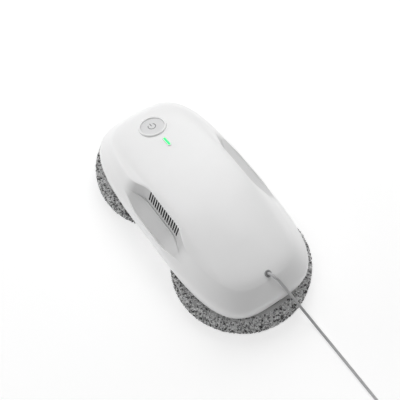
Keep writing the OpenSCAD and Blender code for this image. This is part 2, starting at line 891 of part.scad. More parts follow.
// Status light under its slot in the deck
module status_bezel() {
    outer_l = light_l + 2 * (bezel_wall + bezel_play);
    outer_w = light_w + 2 * (bezel_wall + bezel_play);
    color("whitesmoke") on_light() difference() {
        union() {
            translate([0, 0, bezel_low]) linear_extrude(bezel_high - bezel_low)
                stadium(outer_l, outer_w);
            translate([0, 0, bezel_flange_z]) linear_extrude(bezel_flange_t)
                stadium(outer_l + 2 * bezel_flange, outer_w + 2 * bezel_flange);
        }
        translate([0, 0, bezel_low - overrun]) linear_extrude(bezel_high - bezel_low + 2 * overrun)
            stadium(light_l + 2 * bezel_play, light_w + 2 * bezel_play);
    }
}
module status_lens() {
    color("limegreen") on_light() translate([0, 0, bezel_low + play])
        linear_extrude(lens_high - bezel_low - play) stadium(light_l, light_w);
}
module status_board() {
    color("seagreen") on_light() translate([0, 0, bezel_low - status_board_t])
        linear_extrude(status_board_t) square([status_board_l, status_board_w], center = true);
}

// Exit of the lead
module cord_grommet() {
    color("gray") on_exit() {
        ring(grommet_r, grommet_bore_r, grommet_low, grommet_high);
        ring(grommet_collar_r, grommet_bore_r, grommet_collar_z, grommet_high);
    }
}
module cord_clamp() {
    groove = clamp_groove / 2;
    middle = (clamp_low + sleeve_low) / 2;
    color("gainsboro") on_exit() rotate_extrude() polygon([[0, clamp_low], [sleeve_r, clamp_low],
        [sleeve_r, middle - groove], [sleeve_r - groove, middle], [sleeve_r, middle + groove],
        [sleeve_r, sleeve_low], [0, sleeve_low]]);
}

// Round tube swept along a path; side is a direction that the path never follows
module sweep(path, r, sides, side) {
    last = len(path) - 1;
    pts = [for (i = [0:last], j = [0:sides - 1])
        let (t = unit(path[min(i + 1, last)] - path[max(i - 1, 0)]),
             u = unit(cross(t, side)), v = cross(t, u), a = 360 * (j + 1 / 2) / sides)
        path[i] + r * (cos(a) * u + sin(a) * v)];
    tube = [for (i = [0:last - 1], j = [0:sides - 1], h = [0, 1])
        let (a = i * sides + j, b = i * sides + (j + 1) % sides)
        h == 0 ? [a, b + sides, b] : [a, a + sides, b + sides]];
    ends = [for (j = [1:sides - 2], h = [0, 1])
        h == 0 ? [0, j, j + 1] : [last * sides, last * sides + j + 1, last * sides + j]];
    polyhedron(pts, concat(tube, ends));
}
module supply_cord() {
    color("darkgray") sweep(route, cord_r, cord_sides, [0, 1, 0]);
}

// Centre line of the coil: in on the lower layer, out on the upper one, climbing
// through the half turn in which the spiral reverses
coil_middle = coil_loops * 180;
function coil_point(a) =
    let (in = min(a, 2 * coil_middle - a), r = coil_r - coil_pitch * in / 360, f = 90 - a,
         rise = min(1, max(0, (a - coil_middle + 90) / 180)))
    [coil_centre.x + r * cos(f), coil_centre.y + r * sin(f), coil_z + coil_pitch * rise];
coil_end = coil_point(2 * coil_middle);
coil_end_angle = -2 * coil_middle;
coil_heading = turned([1, 0], coil_end_angle);
coil_path = concat([coil_point(0) - [cord_d, 0, 0]],
    [for (s = [0:coil_loops * loop_rings]) coil_point(360 * s / loop_rings)],
    [coil_end + cord_d * [coil_heading.x, coil_heading.y, 0]]);
connector_at = coil_path[len(coil_path) - 1];
module cord_coil() {
    color("darkgray") sweep(coil_path, cord_r, coil_sides, [0, 0, 1]);
}

// Least gap of the coil to itself, between points at least half a loop apart
coil_gap = min([for (i = [0:len(coil_path) - 2], j = [i + loop_rings / 2:len(coil_path) - 1])
    norm(coil_path[i] - coil_path[j])]) - cord_d;
function path_length(p) = len(p) < 2 ? 0 : sum_of([for (i = [1:len(p) - 1]) norm(p[i] - p[i - 1])]);
function sum_of(v) = v * [for (i = v) 1];
echo(coil_gap = coil_gap);
echo(route_length = path_length(route), coil_length = path_length(coil_path));

// Strap round the turns of the coil
module cord_tie() {
    inner_r = coil_r - coil_pitch * coil_loops / 2 - cord_r - tie_play;
    inner = sqrt(pow(inner_r, 2) - pow(tie_w / 2, 2));
    outer = coil_r + cord_r + tie_play;
    high = coil_z + coil_pitch + cord_r + tie_play;
    color("#404040") translate([coil_centre.x, coil_centre.y + tie_w / 2, 0]) rotate([90, 0, 0])
        linear_extrude(tie_w) difference() {
            translate([inner - tie_t, 0]) square([outer - inner + 2 * tie_t, high + tie_t]);
            translate([inner, tie_t]) square([outer - inner, high - tie_t]);
        }
}

// Connector on the end of the lead, along the heading of the coil's end
module on_connector() {
    translate(connector_at) rotate([0, 90, coil_end_angle]) children();
}
module dc_connector() {
    color("#303030") on_connector() rotate_extrude() polygon([[0, 0], [boot_r, 0],
        [boot_top_r, boot_l], [body_r, boot_l + body_shoulder],
        [body_r, connector_l - body_shoulder], [body_r - body_shoulder / 2, connector_l],
        [barrel_seat_r, connector_l], [barrel_seat_r, connector_l - barrel_seat],
        [0, connector_l - barrel_seat]]);
}
module dc_barrel() {
    color("silver") on_connector() {
        ring(barrel_r, barrel_bore_r, connector_l, connector_l + barrel_l);
        bar(barrel_seat_r, connector_l - barrel_seat, connector_l + barrel_l / 5);
    }
}

module housing_screws() {
    head = floor_z + screw_head_h;
    color("silver") at_screws() {
        bar(screw_head_r, floor_z, head);
        bar(screw_r, floor_z, floor_z + screw_l);
    }
}

top_shell();
base_shell();
front_disc();
rear_disc();
front_hook();
rear_hook();
front_pad();
rear_pad();
front_seal();
rear_seal();
front_bush();
rear_bush();
front_ring_gear();
rear_ring_gear();
front_pinion();
rear_pinion();
front_gearmotor();
rear_gearmotor();
air_manifold();
fan_housing();
fan_cover();
fan_motor();
fan_impeller();
fan_shaft();
battery_cradle();
battery_cells();
main_board();
button_ring();
power_button();
button_carrier();
button_board();
tact_switch();
switch_plunger();
status_bezel();
status_lens();
status_board();
cord_grommet();
cord_clamp();
supply_cord();
cord_coil();
cord_tie();
dc_connector();
dc_barrel();
housing_screws();
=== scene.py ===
"""Looks of a twin-disc window cleaning robot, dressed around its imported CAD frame.

Lengths are in millimetres in the classes and in metres in Blender. The frame is the CAD's:
+Z up, the floor at 0, the button towards -X and the lead's exit towards +X.
"""

import logging
import math
from collections.abc import Iterable
from dataclasses import dataclass
from enum import Enum

import bmesh
import bpy
import numpy as np
from mathutils import Matrix, Vector
from mathutils.kdtree import KDTree


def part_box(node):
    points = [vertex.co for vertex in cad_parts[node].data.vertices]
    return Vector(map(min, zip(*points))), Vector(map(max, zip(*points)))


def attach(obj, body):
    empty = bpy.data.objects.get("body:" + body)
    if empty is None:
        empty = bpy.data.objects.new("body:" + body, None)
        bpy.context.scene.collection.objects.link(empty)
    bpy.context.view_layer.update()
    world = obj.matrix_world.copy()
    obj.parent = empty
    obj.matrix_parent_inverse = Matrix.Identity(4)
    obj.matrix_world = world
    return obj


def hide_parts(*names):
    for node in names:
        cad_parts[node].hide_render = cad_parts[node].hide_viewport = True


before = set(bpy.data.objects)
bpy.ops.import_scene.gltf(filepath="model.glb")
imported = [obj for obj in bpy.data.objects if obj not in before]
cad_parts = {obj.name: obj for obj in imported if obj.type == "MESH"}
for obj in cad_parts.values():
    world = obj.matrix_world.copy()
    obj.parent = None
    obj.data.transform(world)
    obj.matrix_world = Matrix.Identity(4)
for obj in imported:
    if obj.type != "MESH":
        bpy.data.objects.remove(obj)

MM = 0.001
GRAIN_DETAIL = 4.0
GRAIN_ROUGHNESS = 0.6
MOTTLE_SCALE = 40.0
MOTTLE_DETAIL = 3.0
ROUGH_SPREAD = 0.06
LEAST_ROUGH = 0.05
BUMP_STRENGTH = 0.6
WAVE_BANDS = 6
MOTTLE_SPAN = (0.3, 0.7)
YARN_SHADES = ((0.0, 0.03), (0.35, 0.35), (0.6, 1.0))
WEAVE_SHADES = (0.5, 1.2)
TRACK_SPAN = (0.02, 0.08)
SEAM_SPAN = (0.02, 0.06)
GLOW_SPAN = (0.2, 0.8)
GLOW_SHADES = (0.92, 1.0)
MERGE = 1e-4
TINY = 1e-6
FIRST_SEED = 11
log = logging.getLogger("robot")


class Pattern(Enum):
    """Kinds of procedural detail that a finish can carry."""

    MOULDED = "moulded"
    BRUSHED = "brushed"
    PILE = "pile"
    WOVEN = "woven"
    BOARD = "board"
    GLOW = "glow"
    WRAP = "wrap"


class Graph:
    """Shorthand for wiring the nodes of one material."""

    def __init__(self, material: bpy.types.Material | bpy.types.World) -> None:
        """Empties the material's tree and keeps it.

        Args:
            material: the material or world whose nodes are built.
        """
        material.use_nodes = True
        self.tree = material.node_tree
        self.tree.nodes.clear()

    def add(self, kind: str, inputs: dict | None = None, **settings) -> bpy.types.Node:
        """Adds one node.

        Args:
            kind: the node's Blender type without its ShaderNode prefix.
            inputs: socket names or numbers with a value or another node's output.
            settings: attributes set on the node itself.

        Returns:
            The new node.
        """
        node = self.tree.nodes.new("ShaderNode" + kind)
        for name, value in settings.items():
            setattr(node, name, value)
        for name, value in (inputs or {}).items():
            if isinstance(value, bpy.types.NodeSocket):
                self.tree.links.new(value, node.inputs[name])
            else:
                node.inputs[name].default_value = value
        return node

    def ramp(self, factor: bpy.types.NodeSocket, places: tuple[float, ...],
             colours: Iterable[tuple]) -> bpy.types.NodeSocket:
        """Adds a colour ramp.

        Args:
            factor: the socket that drives it.
            places: the stops' places, from 0 to 1.
            colours: the stops' linear RGB colours.

        Returns:
            The ramp's colour output.
        """
        node = self.add("ValToRGB", {"Fac": factor})
        elements = node.color_ramp.elements
        while len(elements) < len(places):
            elements.new(1.0)
        for element, place, colour in zip(elements, places, colours):
            element.position = place
            element.color = (*colour, 1)
        return node.outputs["Color"]


@dataclass(frozen=True)
class Finish:
    """One surface finish with its colour, gloss and fine detail, in millimetres."""

    name: str
    colour: tuple[float, float, float]
    roughness: float = 0.45
    metallic: float = 0.0
    pattern: Pattern = Pattern.MOULDED
    grain: float = 0.5
    depth: float = 0.01
    mottle: float = 0.03
    accent: tuple[float, float, float] = (0.5, 0.5, 0.5)
    stretch: tuple[float, float, float] = (1.0, 1.0, 1.0)
    sheen: float = 0.0
    coat: float = 0.0
    glow: float = 0.0
    # share by which painted shade darkens the colour in the grip pockets
    painted_pocket_shade: float = 0.0

    def shade(self, factor: float) -> tuple[float, float, float]:
        """Returns the colour made lighter or darker by a factor."""
        return tuple(min(1.0, c * factor) for c in self.colour)

    def detail(self, graph: Graph) -> tuple[bpy.types.NodeSocket, bpy.types.NodeSocket]:
        """Builds the fine grain and the broad mottle on Object coordinates.

        Args:
            graph: the material's graph.

        Returns:
            The grain and the mottle, each a value from 0 to 1.
        """
        place = graph.add("TexCoord").outputs["Object"]
        mapped = graph.add("Mapping", {"Vector": place, "Scale": self.stretch}).outputs["Vector"]
        grain = graph.add("TexNoise", {"Vector": mapped, "Scale": 1 / (self.grain * MM),
            "Detail": GRAIN_DETAIL, "Roughness": GRAIN_ROUGHNESS}).outputs["Fac"]
        mottle = graph.add("TexNoise", {"Vector": place, "Scale": MOTTLE_SCALE,
            "Detail": MOTTLE_DETAIL}).outputs["Fac"]
        return grain, mottle

    def waves(self, graph: Graph, place: bpy.types.NodeSocket, way: str) -> bpy.types.NodeSocket:
        """Adds even bands, some grains apart.

        Args:
            graph: the material's graph.
            place: the coordinates.
            way: the axis that the bands follow one another along.

        Returns:
            The bands, a value from 0 to 1.
        """
        return graph.add("TexWave", {"Vector": place, "Scale": 1 / (self.grain * MM * WAVE_BANDS)},
            bands_direction=way).outputs["Fac"]

    def pattern_colour(self, graph: Graph, grain: bpy.types.NodeSocket,
                       mottle: bpy.types.NodeSocket) -> tuple[bpy.types.NodeSocket, bpy.types.NodeSocket]:
        """Builds the colour of the finish and the height that its bump reads.

        Args:
            graph: the material's graph.
            grain: the fine grain.
            mottle: the broad mottle.

        Returns:
            The colour and the height.
        """
        place = graph.add("TexCoord").outputs["Object"]
        plain = graph.ramp(mottle, MOTTLE_SPAN,
            (self.shade(1 - self.mottle), self.shade(1 + self.mottle)))
        if self.pattern is Pattern.PILE:
            tone = graph.add("Attribute", attribute_name="yarn_tone").outputs["Fac"]
            places, shares = zip(*YARN_SHADES)
            shades = (*(self.shade(share) for share in shares), self.accent)
            return graph.ramp(tone, (*places, 1.0), shades), grain
        if self.pattern is Pattern.WOVEN:
            warp, weft = (self.waves(graph, place, way) for way in "XZ")
            weave = graph.add("Math", {0: warp, 1: weft}, operation="MULTIPLY").outputs["Value"]
            return graph.ramp(weave, (0.0, 1.0), [self.shade(s) for s in WEAVE_SHADES]), weave
        if self.pattern is Pattern.BOARD:
            cells = graph.add("TexVoronoi", {"Vector": place, "Scale": 1 / (self.grain * MM)},
                feature="DISTANCE_TO_EDGE", distance="MANHATTAN").outputs["Distance"]
            return graph.ramp(cells, TRACK_SPAN, (self.accent, self.colour)), cells
        if self.pattern is Pattern.WRAP:
            bands = self.waves(graph, place, "Y")
            return graph.ramp(bands, SEAM_SPAN, (self.accent, self.colour)), grain
        # painted shade: the colour darkens where the shell's mask marks the grip pockets, standing in for
        # their shadow
        if self.painted_pocket_shade:
            hollow = graph.add("Attribute", attribute_name="painted_pocket_shade").outputs["Fac"]
            painted_shade = graph.ramp(hollow, (0.0, 1.0), ((1, 1, 1), (1 - self.painted_pocket_shade,) * 3))
            both = graph.add("VectorMath", {0: plain, 1: painted_shade}, operation="MULTIPLY")
            return both.outputs["Vector"], grain
        return plain, grain

    def material(self) -> bpy.types.Material:
        """Builds the material at the first call and finds it again at the later ones.

        Returns:
            The material.
        """
        label = self.name + "_look"
        found = bpy.data.materials.get(label)
        if found:
            return found
        made = bpy.data.materials.new(label)
        made.diffuse_color = (*self.colour, 1)
        graph = Graph(made)
        grain, mottle = self.detail(graph)
        colour, height = self.pattern_colour(graph, grain, mottle)
        rough = graph.add("MapRange", {"Value": grain,
            "To Min": max(LEAST_ROUGH, self.roughness - ROUGH_SPREAD),
            "To Max": min(1.0, self.roughness + ROUGH_SPREAD)}).outputs["Result"]
        bump = graph.add("Bump", {"Height": height, "Strength": BUMP_STRENGTH,
            "Distance": self.depth * MM}).outputs["Normal"]
        inputs = {"Base Color": colour, "Roughness": rough, "Normal": bump, "Metallic": self.metallic,
            "Sheen Weight": self.sheen, "Coat Weight": self.coat}
        if self.glow:
            inputs["Emission Color"] = graph.ramp(mottle, GLOW_SPAN, [self.shade(s) for s in GLOW_SHADES])
            inputs["Emission Strength"] = self.glow
        shader = graph.add("BsdfPrincipled", inputs)
        graph.add("OutputMaterial", {"Surface": shader.outputs["BSDF"]})
        return made


# the housing's white carries painted shade in the grip pockets
WHITE = Finish("white_housing", (0.93, 0.93, 0.93), roughness=0.36, grain=0.35, depth=0.004, mottle=0.008,
    painted_pocket_shade=0.34)
WHITE_GLOSS = Finish("white_ring", (0.93, 0.93, 0.93), roughness=0.25, grain=0.35, depth=0.002,
    mottle=0.006)
# painted shadow: near-black for the cut faces of the slots and holes
SLOT = Finish("slot_shadow", (0.09, 0.09, 0.09), roughness=0.6, grain=0.3, depth=0.01, mottle=0.05)
CAP_GREY = Finish("button_cap_grey", (0.76, 0.76, 0.765), roughness=0.4, grain=0.3, depth=0.006,
    mottle=0.012)
SYMBOL = Finish("button_symbol_grey", (0.22, 0.22, 0.225), roughness=0.5, grain=0.2, depth=0.004)
BASE = Finish("base_white", (0.72, 0.72, 0.72), roughness=0.5, grain=0.5, depth=0.01, mottle=0.015)
GLOW = Finish("status_green", (0.03, 0.9, 0.2), roughness=0.5, pattern=Pattern.GLOW, glow=0.95)
DISC = Finish("disc_grey", (0.22, 0.225, 0.23), roughness=0.55, grain=0.4, depth=0.02, mottle=0.04)
HOOK = Finish("hook_black", (0.035, 0.035, 0.037), roughness=0.85, grain=0.6, depth=0.25, mottle=0.1)
PILE = Finish("microfibre_pile", (0.78, 0.78, 0.78), roughness=0.95, pattern=Pattern.PILE, grain=0.25,
    depth=0.08, mottle=0.1, accent=(0.95, 0.95, 0.95), sheen=0.1)
SEAL = Finish("seal_rubber", (0.03, 0.03, 0.031), roughness=0.7, grain=0.3, depth=0.03, mottle=0.08)
BUSH = Finish("bush_nylon", (0.62, 0.56, 0.44), roughness=0.5, grain=0.4, depth=0.01)
GEAR = Finish("gear_nylon", (0.75, 0.72, 0.64), roughness=0.45, grain=0.4, depth=0.01)
BRASS = Finish("pinion_brass", (0.62, 0.44, 0.16), roughness=0.3, metallic=1.0,
    pattern=Pattern.BRUSHED, grain=0.2, depth=0.004, stretch=(1, 1, 0.08))
STEEL = Finish("motor_steel", (0.48, 0.48, 0.49), roughness=0.32, metallic=1.0,
    pattern=Pattern.BRUSHED, grain=0.25, depth=0.005, stretch=(1, 1, 0.06))
PLUG = Finish("plug_nickel", (0.66, 0.65, 0.62), roughness=0.22, metallic=1.0,
    pattern=Pattern.BRUSHED, grain=0.2, depth=0.003, stretch=(0.2, 0.2, 1))
DUCT = Finish("duct_black", (0.045, 0.045, 0.047), roughness=0.6, grain=0.5, depth=0.02, mottle=0.06)
FAN = Finish("fan_nylon", (0.7, 0.7, 0.69), roughness=0.5, grain=0.4, depth=0.01)
CELL = Finish("cell_wrap", (0.03, 0.12, 0.42), roughness=0.3, pattern=Pattern.WRAP, grain=16.0,
    depth=0.02, accent=(0.012, 0.04, 0.16), coat=0.3)
BOARD = Finish("circuit_board", (0.012, 0.12, 0.045), roughness=0.35, pattern=Pattern.BOARD,
    grain=3.2, depth=0.03, accent=(0.04, 0.26, 0.1), coat=0.2)
SWITCH = Finish("switch_black", (0.03, 0.03, 0.03), roughness=0.45, grain=0.3, depth=0.01)
LEAD = Finish("lead_grey", (0.48, 0.48, 0.485), roughness=0.5, grain=0.5, depth=0.03, mottle=0.05)
GROMMET = Finish("grommet_grey", (0.33, 0.33, 0.335), roughness=0.55, grain=0.4, depth=0.02, mottle=0.05)
TIE = Finish("tie_fabric", (0.06, 0.06, 0.062), roughness=0.9, pattern=Pattern.WOVEN, grain=0.5,
    depth=0.12, sheen=0.3)
CONNECTOR = Finish("connector_black", (0.035, 0.035, 0.036), roughness=0.5, grain=0.3, depth=0.02,
    mottle=0.08)

CAD_FINISHES = {
    "base_shell": BASE, "front_disc": DISC, "rear_disc": DISC, "front_hook": HOOK, "rear_hook": HOOK,
    "front_seal": SEAL, "rear_seal": SEAL, "front_bush": BUSH, "rear_bush": BUSH,
    "front_ring_gear": GEAR, "rear_ring_gear": GEAR, "front_pinion": BRASS, "rear_pinion": BRASS,
    "front_gearmotor": STEEL, "rear_gearmotor": STEEL, "air_manifold": DUCT, "fan_housing": DUCT,
    "fan_cover": DUCT, "fan_motor": STEEL, "fan_impeller": FAN, "fan_shaft": STEEL,
    "battery_cradle": DUCT, "battery_cells": CELL, "main_board": BOARD, "button_carrier": BASE,
    "button_board": BOARD, "tact_switch": SWITCH, "switch_plunger": SWITCH, "status_board": BOARD,
    "cord_clamp": BASE, "housing_screws": STEEL,
}


class Shop:
    """Mesh making that every sub-assembly shares."""

    @staticmethod
    def mesh(name: str, bm: bmesh.types.BMesh) -> bpy.types.Mesh:
        """Writes a bmesh into a new mesh and frees it.

        Args:
            name: the mesh's name.
            bm: the bmesh.

        Returns:
            The mesh.
        """
        made = bpy.data.meshes.new(name)
        bm.to_mesh(made)
        bm.free()
        return made

    @staticmethod
    def place(name: str, data: bpy.types.ID) -> bpy.types.Object:
        """Puts a new object with the given data into the scene.

        Args:
            name: the object's name.
            data: its mesh, curve, light or camera.

        Returns:
            The object, at the origin.
        """
        made = bpy.data.objects.new(name, data)
        bpy.context.scene.collection.objects.link(made)
        return made

    @staticmethod
    def join(target: bmesh.types.BMesh, part: bmesh.types.BMesh) -> None:
        """Adds a part's mesh to a target and frees the part.

        Args:
            target: the bmesh that grows.
            part: the bmesh that is added.
        """
        held = Shop.mesh("held", part)
        target.from_mesh(held)
        bpy.data.meshes.remove(held)

    @staticmethod
    def piece(name: str, bm: bmesh.types.BMesh, finish: Finish, body: str, slot: str,
              *nodes: str, seat: Matrix | None = None, angle: float = 35.0) -> bpy.types.Object:
        """Turns a bmesh in millimetres into a finished piece that rides on a body.

        Args:
            name: the piece's name.
            bm: the mesh, which is freed.
            finish: its finish.
            body: the CAD body that it rides on.
            slot: the record's material slot.
            nodes: the CAD nodes that it stands for.
            seat: the frame in which the mesh was drawn, or none where it is the robot's own.
            angle: edges sharper than this many degrees stay sharp.

        Returns:
            The object, at the origin.
        """
        if seat is not None:
            bmesh.ops.transform(bm, matrix=seat, verts=bm.verts)
        bmesh.ops.scale(bm, vec=(MM, MM, MM), verts=bm.verts)
        return Shop.dress(name, Shop.mesh(name, bm), finish, body, slot, *nodes, angle=angle)

    @staticmethod
    def dress(name: str, mesh: bpy.types.Mesh, finish: Finish | None, body: str, slot: str,
              *nodes: str, angle: float = 35.0) -> bpy.types.Object:
        """Makes an object of a finished mesh in metres.

        Args:
            name: the piece's name.
            mesh: its mesh.
            finish: its finish, or none where the mesh has its materials.
            body: the CAD body that it rides on.
            slot: the record's material slot.
            nodes: the CAD nodes that it stands for.
            angle: edges sharper than this many degrees stay sharp.

        Returns:
            The object, at the origin.
        """
        mesh.shade_smooth()
        mesh.set_sharp_from_angle(angle=math.radians(angle))
        if finish:
            mesh.materials.clear()
            mesh.materials.append(finish.material())
        made = Shop.place(name, mesh)
        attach(made, body)
        if nodes:
            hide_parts(*nodes)
        log.info("%s: %d faces on %s", name, len(mesh.polygons), body)
        return made

    @staticmethod
    def lathe(profile: list[tuple[float, float]], steps: int = 96) -> bmesh.types.BMesh:
        """Spins a line of radius and height about the Z axis into a closed form.

        Args:
            profile: the points, in millimetres; the ends lie on the axis or meet.
            steps: the number of segments.

        Returns:
            The mesh.
        """
        bm = bmesh.new()
        line = [bm.verts.new((r, 0, z)) for r, z in profile]
        for a, b in zip(line, line[1:]):
            bm.edges.new((a, b))
        bmesh.ops.spin(bm, geom=bm.verts[:] + bm.edges[:], cent=(0, 0, 0), axis=(0, 0, 1),
            angle=math.tau, steps=steps, use_merge=True, use_duplicate=False)
        bmesh.ops.remove_doubles(bm, verts=bm.verts, dist=MERGE)
        bmesh.ops.recalc_face_normals(bm, faces=bm.faces)
        return bm

    @staticmethod
    def arc(centre: tuple[float, float], radius: float, start: float, end: float,
            count: int = 5) -> list[tuple[float, float]]:
        """Returns points on an arc, from one angle to the other in degrees."""
        angles = [math.radians(start + (end - start) * i / count) for i in range(count + 1)]
        return [(centre[0] + radius * math.cos(a), centre[1] + radius * math.sin(a)) for a in angles]

    @staticmethod
    def stadium(length: float, width: float, low: float, high: float,
                corner: int = 10) -> bmesh.types.BMesh:
        """Extrudes a flat bar with round ends, centred on the origin.

        Args:
            length: its length over all.
            width: its width.
            low: its underside.
            high: its top.
            corner: segments in each round end.

        Returns:
            The closed mesh.
        """
        bm = bmesh.new()
        bmesh.ops.create_circle(bm, cap_ends=True, segments=4 * corner, radius=width / 2)
        for v in bm.verts:
            v.co.x += math.copysign((length - width) / 2, v.co.x) if abs(v.co.x) > TINY else 0.0
            v.co.z = low
        raised = bmesh.ops.extrude_face_region(bm, geom=bm.faces[:])["geom"]
        tops = [g for g in raised if isinstance(g, bmesh.types.BMVert)]
        bmesh.ops.translate(bm, vec=(0, 0, high - low), verts=tops)
        bmesh.ops.recalc_face_normals(bm, faces=bm.faces)
        return bm


@dataclass
class HousingSkin:
    """The moulded skin as a function of its place, with the CAD source's sizes and finer shares."""

    half_l: float = 136.0
    half_w: float = 68.633
    skirt_z: float = 29.5
    height: float = 54.5
    deck_drop: float = 18.0
    squareness: float = 3.6
    innermost_share: float = 0.98
    side_steps: int = 128
    end_steps: int = 44
    crease_levels: tuple = (4, 5, 6, 7, 8, 9, 10)
    wall_level: int = 6
    drop_levels: tuple[int, int] = (2, 4)
    deck_first: int = 3
    blend_levels: tuple = (6, 7, 10, 12.5)
    blend_half_l: tuple = (61, 58, 58, 104)
    blend_flat: tuple = (14, 19, 19, 2)
    plain_shares: tuple = ((0.012, 0), (0, 0.083), (0.003, 0.193), (0.023, 0.303), (0.085, 0.45),
        (0.094, 0.469), (0.118, 0.515), (0.124, 0.528), (0.13, 0.54), (0.207, 0.71),
        (0.235, 0.747), (0.285, 0.799), (0.35, 0.845), (0.466, 0.894), (0.656, 0.941),
        (0.831, 0.971), (0.93, 0.982))
    pocket_shares: tuple = ((0.012, 0), (0, 0.083), (0.003, 0.193), (0.013, 0.303), (0.026, 0.354),
        (0.042, 0.336), (0.248, 0.55), (0.264, 0.54), (0.268, 0.58), (0.322, 0.825),
        (0.332, 0.868), (0.358, 0.9), (0.424, 0.929), (0.538, 0.953), (0.688, 0.973),
        (0.831, 0.988), (0.93, 0.994))

    @property
    def top_level(self) -> int:
        """The number of the last level."""
        return len(self.plain_shares) - 1

    @staticmethod
    def smooth(t: np.ndarray) -> np.ndarray:
        """Returns the smooth step of the source, from 0 to 1."""
        c = np.clip(t, 0, 1)
        return c * c * c * (c * (6 * c - 15) + 10)

    def pocket_weight(self, x: np.ndarray, level: float = 0.0) -> np.ndarray:
        """Returns the share of the full pocket depth at places along the housing.

        Args:
            x: the places.
            level: the level of the line, for its own half length and flat middle.

        Returns:
            The shares, from 0 to 1.
        """
        end = np.interp(level, self.blend_levels, self.blend_half_l)
        flat = np.interp(level, self.blend_levels, self.blend_flat)
        return self.smooth((end - np.abs(x)) / (end - flat))

    def stations(self, r: float) -> tuple[np.ndarray, np.ndarray]:
        """Spreads the points of a ring over its straight sides and its turned ends.

        Args:
            r: the radius of the ends.

        Returns:
            The places along the housing and the shares across it, from -1 to 1.
        """
        run = self.half_l - self.half_w
        side = run * (1 - 2 * np.arange(self.side_steps) / self.side_steps)
        turn = np.radians(90 + 180 * np.arange(self.end_steps) / self.end_steps)
        x = np.concatenate([side, r * np.cos(turn) - run, -side, run - r * np.cos(turn)])
        y = np.concatenate([np.ones(self.side_steps), np.sin(turn), -np.ones(self.side_steps),
            -np.sin(turn)])
        return x, y

    def plan(self, inset: np.ndarray | float) -> tuple[np.ndarray, np.ndarray]:
        """Draws the rounded plan outline.

        Args:
            inset: how far it is drawn in, the same all round or one value for each point.

        Returns:
            The points' places along and across the housing.
        """
        r = self.half_w - inset
        base = self.half_w - (inset if np.isscalar(inset) else 0.0)
        x, y = self.stations(base)
        if not np.isscalar(inset):
            turned = np.abs(y) < 1
            run = self.half_l - self.half_w
            x = np.where(turned, np.sign(x) * (run + (np.abs(x) - run) * r / self.half_w), x)
        k = (np.abs(x) / (self.half_l - inset)) ** self.squareness + np.abs(y) ** self.squareness
        k = k ** (-1 / self.squareness)
        return x * k, r * y * k

    def shares(self, table: tuple, level: float, creases: tuple = ()) -> tuple[float, float]:
        """Returns a table's inset and height at a level between its rows, on a smooth curve.

        Args:
            table: the rows of inset and height.
            level: the level, whole at a row.
            creases: the rows at which the curve may turn sharply.

        Returns:
            The inset and the height.
        """
        last = len(table) - 1
        i = min(int(level), last - 1)
        p = [np.array(table[min(max(j, 0), last)], float) for j in range(i - 1, i + 3)]
        gaps = [max(TINY, float(np.linalg.norm(b - a)) ** 0.5) for a, b in zip(p, p[1:])]
        if i == 0 or i in creases:
            p[0], gaps[0] = 2 * p[1] - p[2], gaps[1]
        if i == last - 1 or i + 1 in creases:
            p[3], gaps[2] = 2 * p[2] - p[1], gaps[1]
        t0, t1 = 0.0, gaps[0]
        t2, t3 = t1 + gaps[1], t1 + gaps[1] + gaps[2]
        t = t1 + (level - i) * (t2 - t1)
        a1 = (t1 - t) / (t1 - t0) * p[0] + (t - t0) / (t1 - t0) * p[1]
        a2 = (t2 - t) / (t2 - t1) * p[1] + (t - t1) / (t2 - t1) * p[2]
        a3 = (t3 - t) / (t3 - t2) * p[2] + (t - t2) / (t3 - t2) * p[3]
        b1 = (t2 - t) / (t2 - t0) * a1 + (t - t0) / (t2 - t0) * a2
        b2 = (t3 - t) / (t3 - t1) * a2 + (t - t1) / (t3 - t1) * a3
        inset, height = (t2 - t) / (t2 - t1) * b1 + (t - t1) / (t2 - t1) * b2
        return float(inset), float(height)

    def ring(self, level: float, t: float) -> np.ndarray:
        """Returns the points of one level of the skin.

        Args:
            level: the level, whole at a row of the tables.
            t: how far the skin lies inside the outer one.

        Returns:
            The points in ring order, in millimetres.
        """
        plain = self.shares(self.plain_shares, level)
        pocket = self.shares(self.pocket_shares, level, self.crease_levels)
        x, _ = self.plan(plain[0] * self.half_w + t)
        w = self.pocket_weight(x, level)
        inset = (plain[0] + (pocket[0] - plain[0]) * w) * self.half_w + t
        share = plain[1] + (pocket[1] - plain[1]) * w
        fall = self.deck_drop * (plain[1] * x / self.half_l) ** 2
        start, end = self.drop_levels
        down = t * float(self.smooth(np.array((level - start) / (end - start))))
        _, y = self.plan(np.minimum(inset, self.half_w * self.innermost_share))
        return np.stack([x, y, self.skirt_z + share * self.height - fall - down], 1)

    def deck_z(self, x: float) -> float:
        """Works out the height of the deck on the long middle line.

        Args:
            x: the place along the housing.

        Returns:
            The height over the floor.
        """
        last = self.top_level
        inset = min(self.plain_shares[last][0], (self.half_l - abs(x)) / self.half_w)
        rows = self.plain_shares[self.deck_first:]
        plain = float(np.interp(inset, [r[0] for r in rows], [r[1] for r in rows]))
        share = plain
        if inset >= self.plain_shares[last][0]:
            w = float(self.pocket_weight(np.array(x)))
            share = plain + (self.pocket_shares[last][1] - plain) * w
        return self.skirt_z + share * self.height - self.deck_drop * (plain * x / self.half_l) ** 2

    def seat(self, x: float, reach: float) -> Matrix:
        """Returns the frame that stands on the deck, as the CAD places its parts there.

        Args:
            x: the place along the housing.
            reach: the half length over which the deck's lean is taken.

        Returns:
            The frame, in millimetres.
        """
        lean = math.atan((self.deck_z(x - reach) - self.deck_z(x + reach)) / (2 * reach))
        return Matrix.Translation((x, 0, self.deck_z(x))) @ Matrix.Rotation(lean, 4, "Y")


